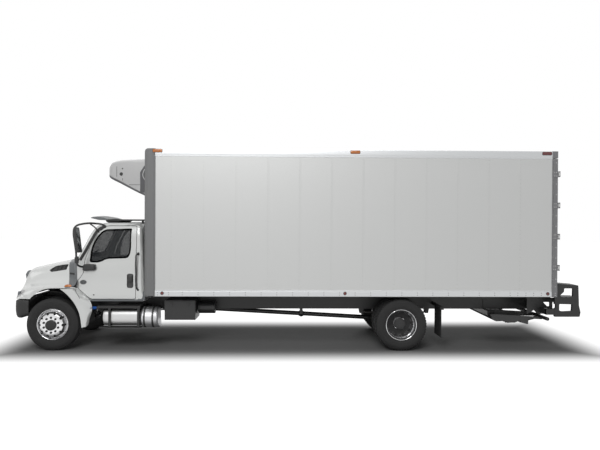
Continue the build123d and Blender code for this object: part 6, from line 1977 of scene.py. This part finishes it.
# ---------------------------------------------------------------- floor, light and camera
def looked_at(tree):
    """Socket that is 1 where a surface is seen, straight or in metal and glass."""
    path = tree.nodes.new("ShaderNodeLightPath")
    total = path.outputs["Is Camera Ray"]
    for name in ("Is Glossy Ray", "Is Transmission Ray"):
        larger = tree.nodes.new("ShaderNodeMath")
        larger.operation = "MAXIMUM"
        tree.links.new(total, larger.inputs[0])
        tree.links.new(path.outputs[name], larger.inputs[1])
        total = larger.outputs[0]
    return total


class TRUCK_OT_stage(bpy.types.Operator):
    """Pale floor, soft studio light and the camera."""
    bl_idname = "truck.stage"
    bl_label = "Studio"

    def execute(self, context):
        self.floor()
        self.world(context.scene)
        self.lamps()
        self.camera(context.scene)
        context.scene.view_settings.view_transform = "Standard"
        return {"FINISHED"}

    def floor(self):
        """Grey floor that shows white where it is looked at away from the truck; close round the truck it stays darker
        for the camera, a painted shadow besides the shade the truck casts.
        """
        form = Form().add([(-60, -60, 0), (60, -60, 0), (60, 60, 0), (-60, 60, 0)], [(0, 1, 2, 3)])
        obj = raw_object("studio_floor", form)
        made = Finish("studio_floor", paints().floor, 0.9, Specular_IOR_Level=0.0, Emission_Strength=1.0)
        seen = Value(made, looked_at(made.tree))
        # for the camera the floor's colour is 0.30 grey, a painted shadow wherever the glow below does not whiten it
        made.mix(seen, (0.30, 0.30, 0.30))
        # the glow is none 0.2 m inside a box round the truck and full 1 m outside it, so the painted shadow fades out
        # round the truck
        away = abs(made.x) - 5.4
        far = made.span(away.calc("MAXIMUM", abs(made.y) - 1.4), -0.2, 1.0) * seen
        glow = made.node("CombineColor", {}, {0: far, 1: far, 2: far})
        made.tree.links.new(glow.socket, made.shader.inputs["Emission Color"])
        obj.data.materials.append(made.done())

    def world(self, scene):
        """Even pale surroundings, plain white where they are looked at."""
        world = bpy.data.worlds.new("studio")
        world.use_nodes = True
        tree = world.node_tree
        back = tree.nodes["Background"]
        back.inputs["Color"].default_value = (1.0, 1.0, 1.0, 1.0)
        strength = tree.nodes.new("ShaderNodeMix")
        strength.inputs[2].default_value = scene.truck_studio.world
        strength.inputs[3].default_value = 1.0
        tree.links.new(looked_at(tree), strength.inputs[0])
        tree.links.new(strength.outputs[0], back.inputs["Strength"])
        scene.world = world

    def lamps(self):
        power = bpy.context.scene.truck_studio.key
        for name, place, aim, size, share in (
                ("key", (-3.0, -15.0, 11.0), (0.0, 0.0, 1.5), 8.0, 1.0),
                ("fill", (-14.0, -4.0, 4.0), (0.0, 0.0, 2.0), 6.0, 0.08),
                ("top", (0.0, 0.0, 12.0), (0.0, 0.0, 0.0), 8.0, 0.60),
                ("back", (3.0, 13.0, 8.0), (0.0, 0.0, 1.5), 8.0, 0.55)):
            lamp = bpy.data.lights.new(name, "AREA")
            lamp.energy, lamp.size = power * share, size
            obj = bpy.data.objects.new(name, lamp)
            obj.location = place
            obj.rotation_euler = (Vector(place) - Vector(aim)).to_track_quat("Z", "Y").to_euler()
            bpy.context.scene.collection.objects.link(obj)

    def camera(self, scene):
        """Long view of the driver's side from a little behind the middle."""
        yaw, pitch, roll = (math.radians(angle) for angle in (1.392, -0.333, 0.268))
        ahead = Vector((math.sin(yaw) * math.cos(pitch), math.cos(yaw) * math.cos(pitch), math.sin(pitch)))
        right = Vector((math.cos(yaw), -math.sin(yaw), 0))
        up = right.cross(ahead)
        across_x = right * math.cos(roll) + up * math.sin(roll)
        across_y = up * math.cos(roll) - right * math.sin(roll)
        lens = bpy.data.cameras.new("view")
        lens.lens, lens.sensor_width = 34.11, 36.0
        obj = bpy.data.objects.new("view", lens)
        obj.matrix_world = Matrix.Translation((at(4.4726), -12.158, 2.495)) @ Matrix(
            (across_x, across_y, -ahead)).transposed().to_4x4()
        scene.collection.objects.link(obj)
        scene.camera = obj


class TRUCK_PT_panel(bpy.types.Panel):
    """Lists the truck's settings and pieces."""
    bl_idname = "TRUCK_PT_panel"
    bl_label = "Refrigerated Truck"
    bl_space_type = "VIEW_3D"
    bl_region_type = "UI"
    bl_category = "Truck"

    def draw(self, context):
        for name, group in SETTINGS.items():
            box = self.layout.box()
            box.label(text=group.__doc__)
            for key in group.__annotations__:
                box.prop(getattr(context.scene, name), key)
        for operator in OPERATORS:
            self.layout.operator(operator.bl_idname)


OPERATORS = (
    TRUCK_OT_hood, TRUCK_OT_cab, TRUCK_OT_front, TRUCK_OT_wheels,
    TRUCK_OT_box, TRUCK_OT_box_rear, TRUCK_OT_reefer, TRUCK_OT_side,
    TRUCK_OT_rear, TRUCK_OT_seats, TRUCK_OT_rest, TRUCK_OT_stage)
CLASSES = (*SETTINGS.values(), *OPERATORS, TRUCK_PT_panel)


def register():
    for made in CLASSES:
        bpy.utils.register_class(made)
    for name, group in SETTINGS.items():
        setattr(bpy.types.Scene, name, bpy.props.PointerProperty(type=group))


def unregister():
    for name in SETTINGS:
        delattr(bpy.types.Scene, name)
    for made in reversed(CLASSES):
        bpy.utils.unregister_class(made)


def main():
    random.seed(7)
    register()
    for operator in OPERATORS:
        group, name = operator.bl_idname.split(".")
        getattr(getattr(bpy.ops, group), name)()


if __name__ == "__main__":
    main()
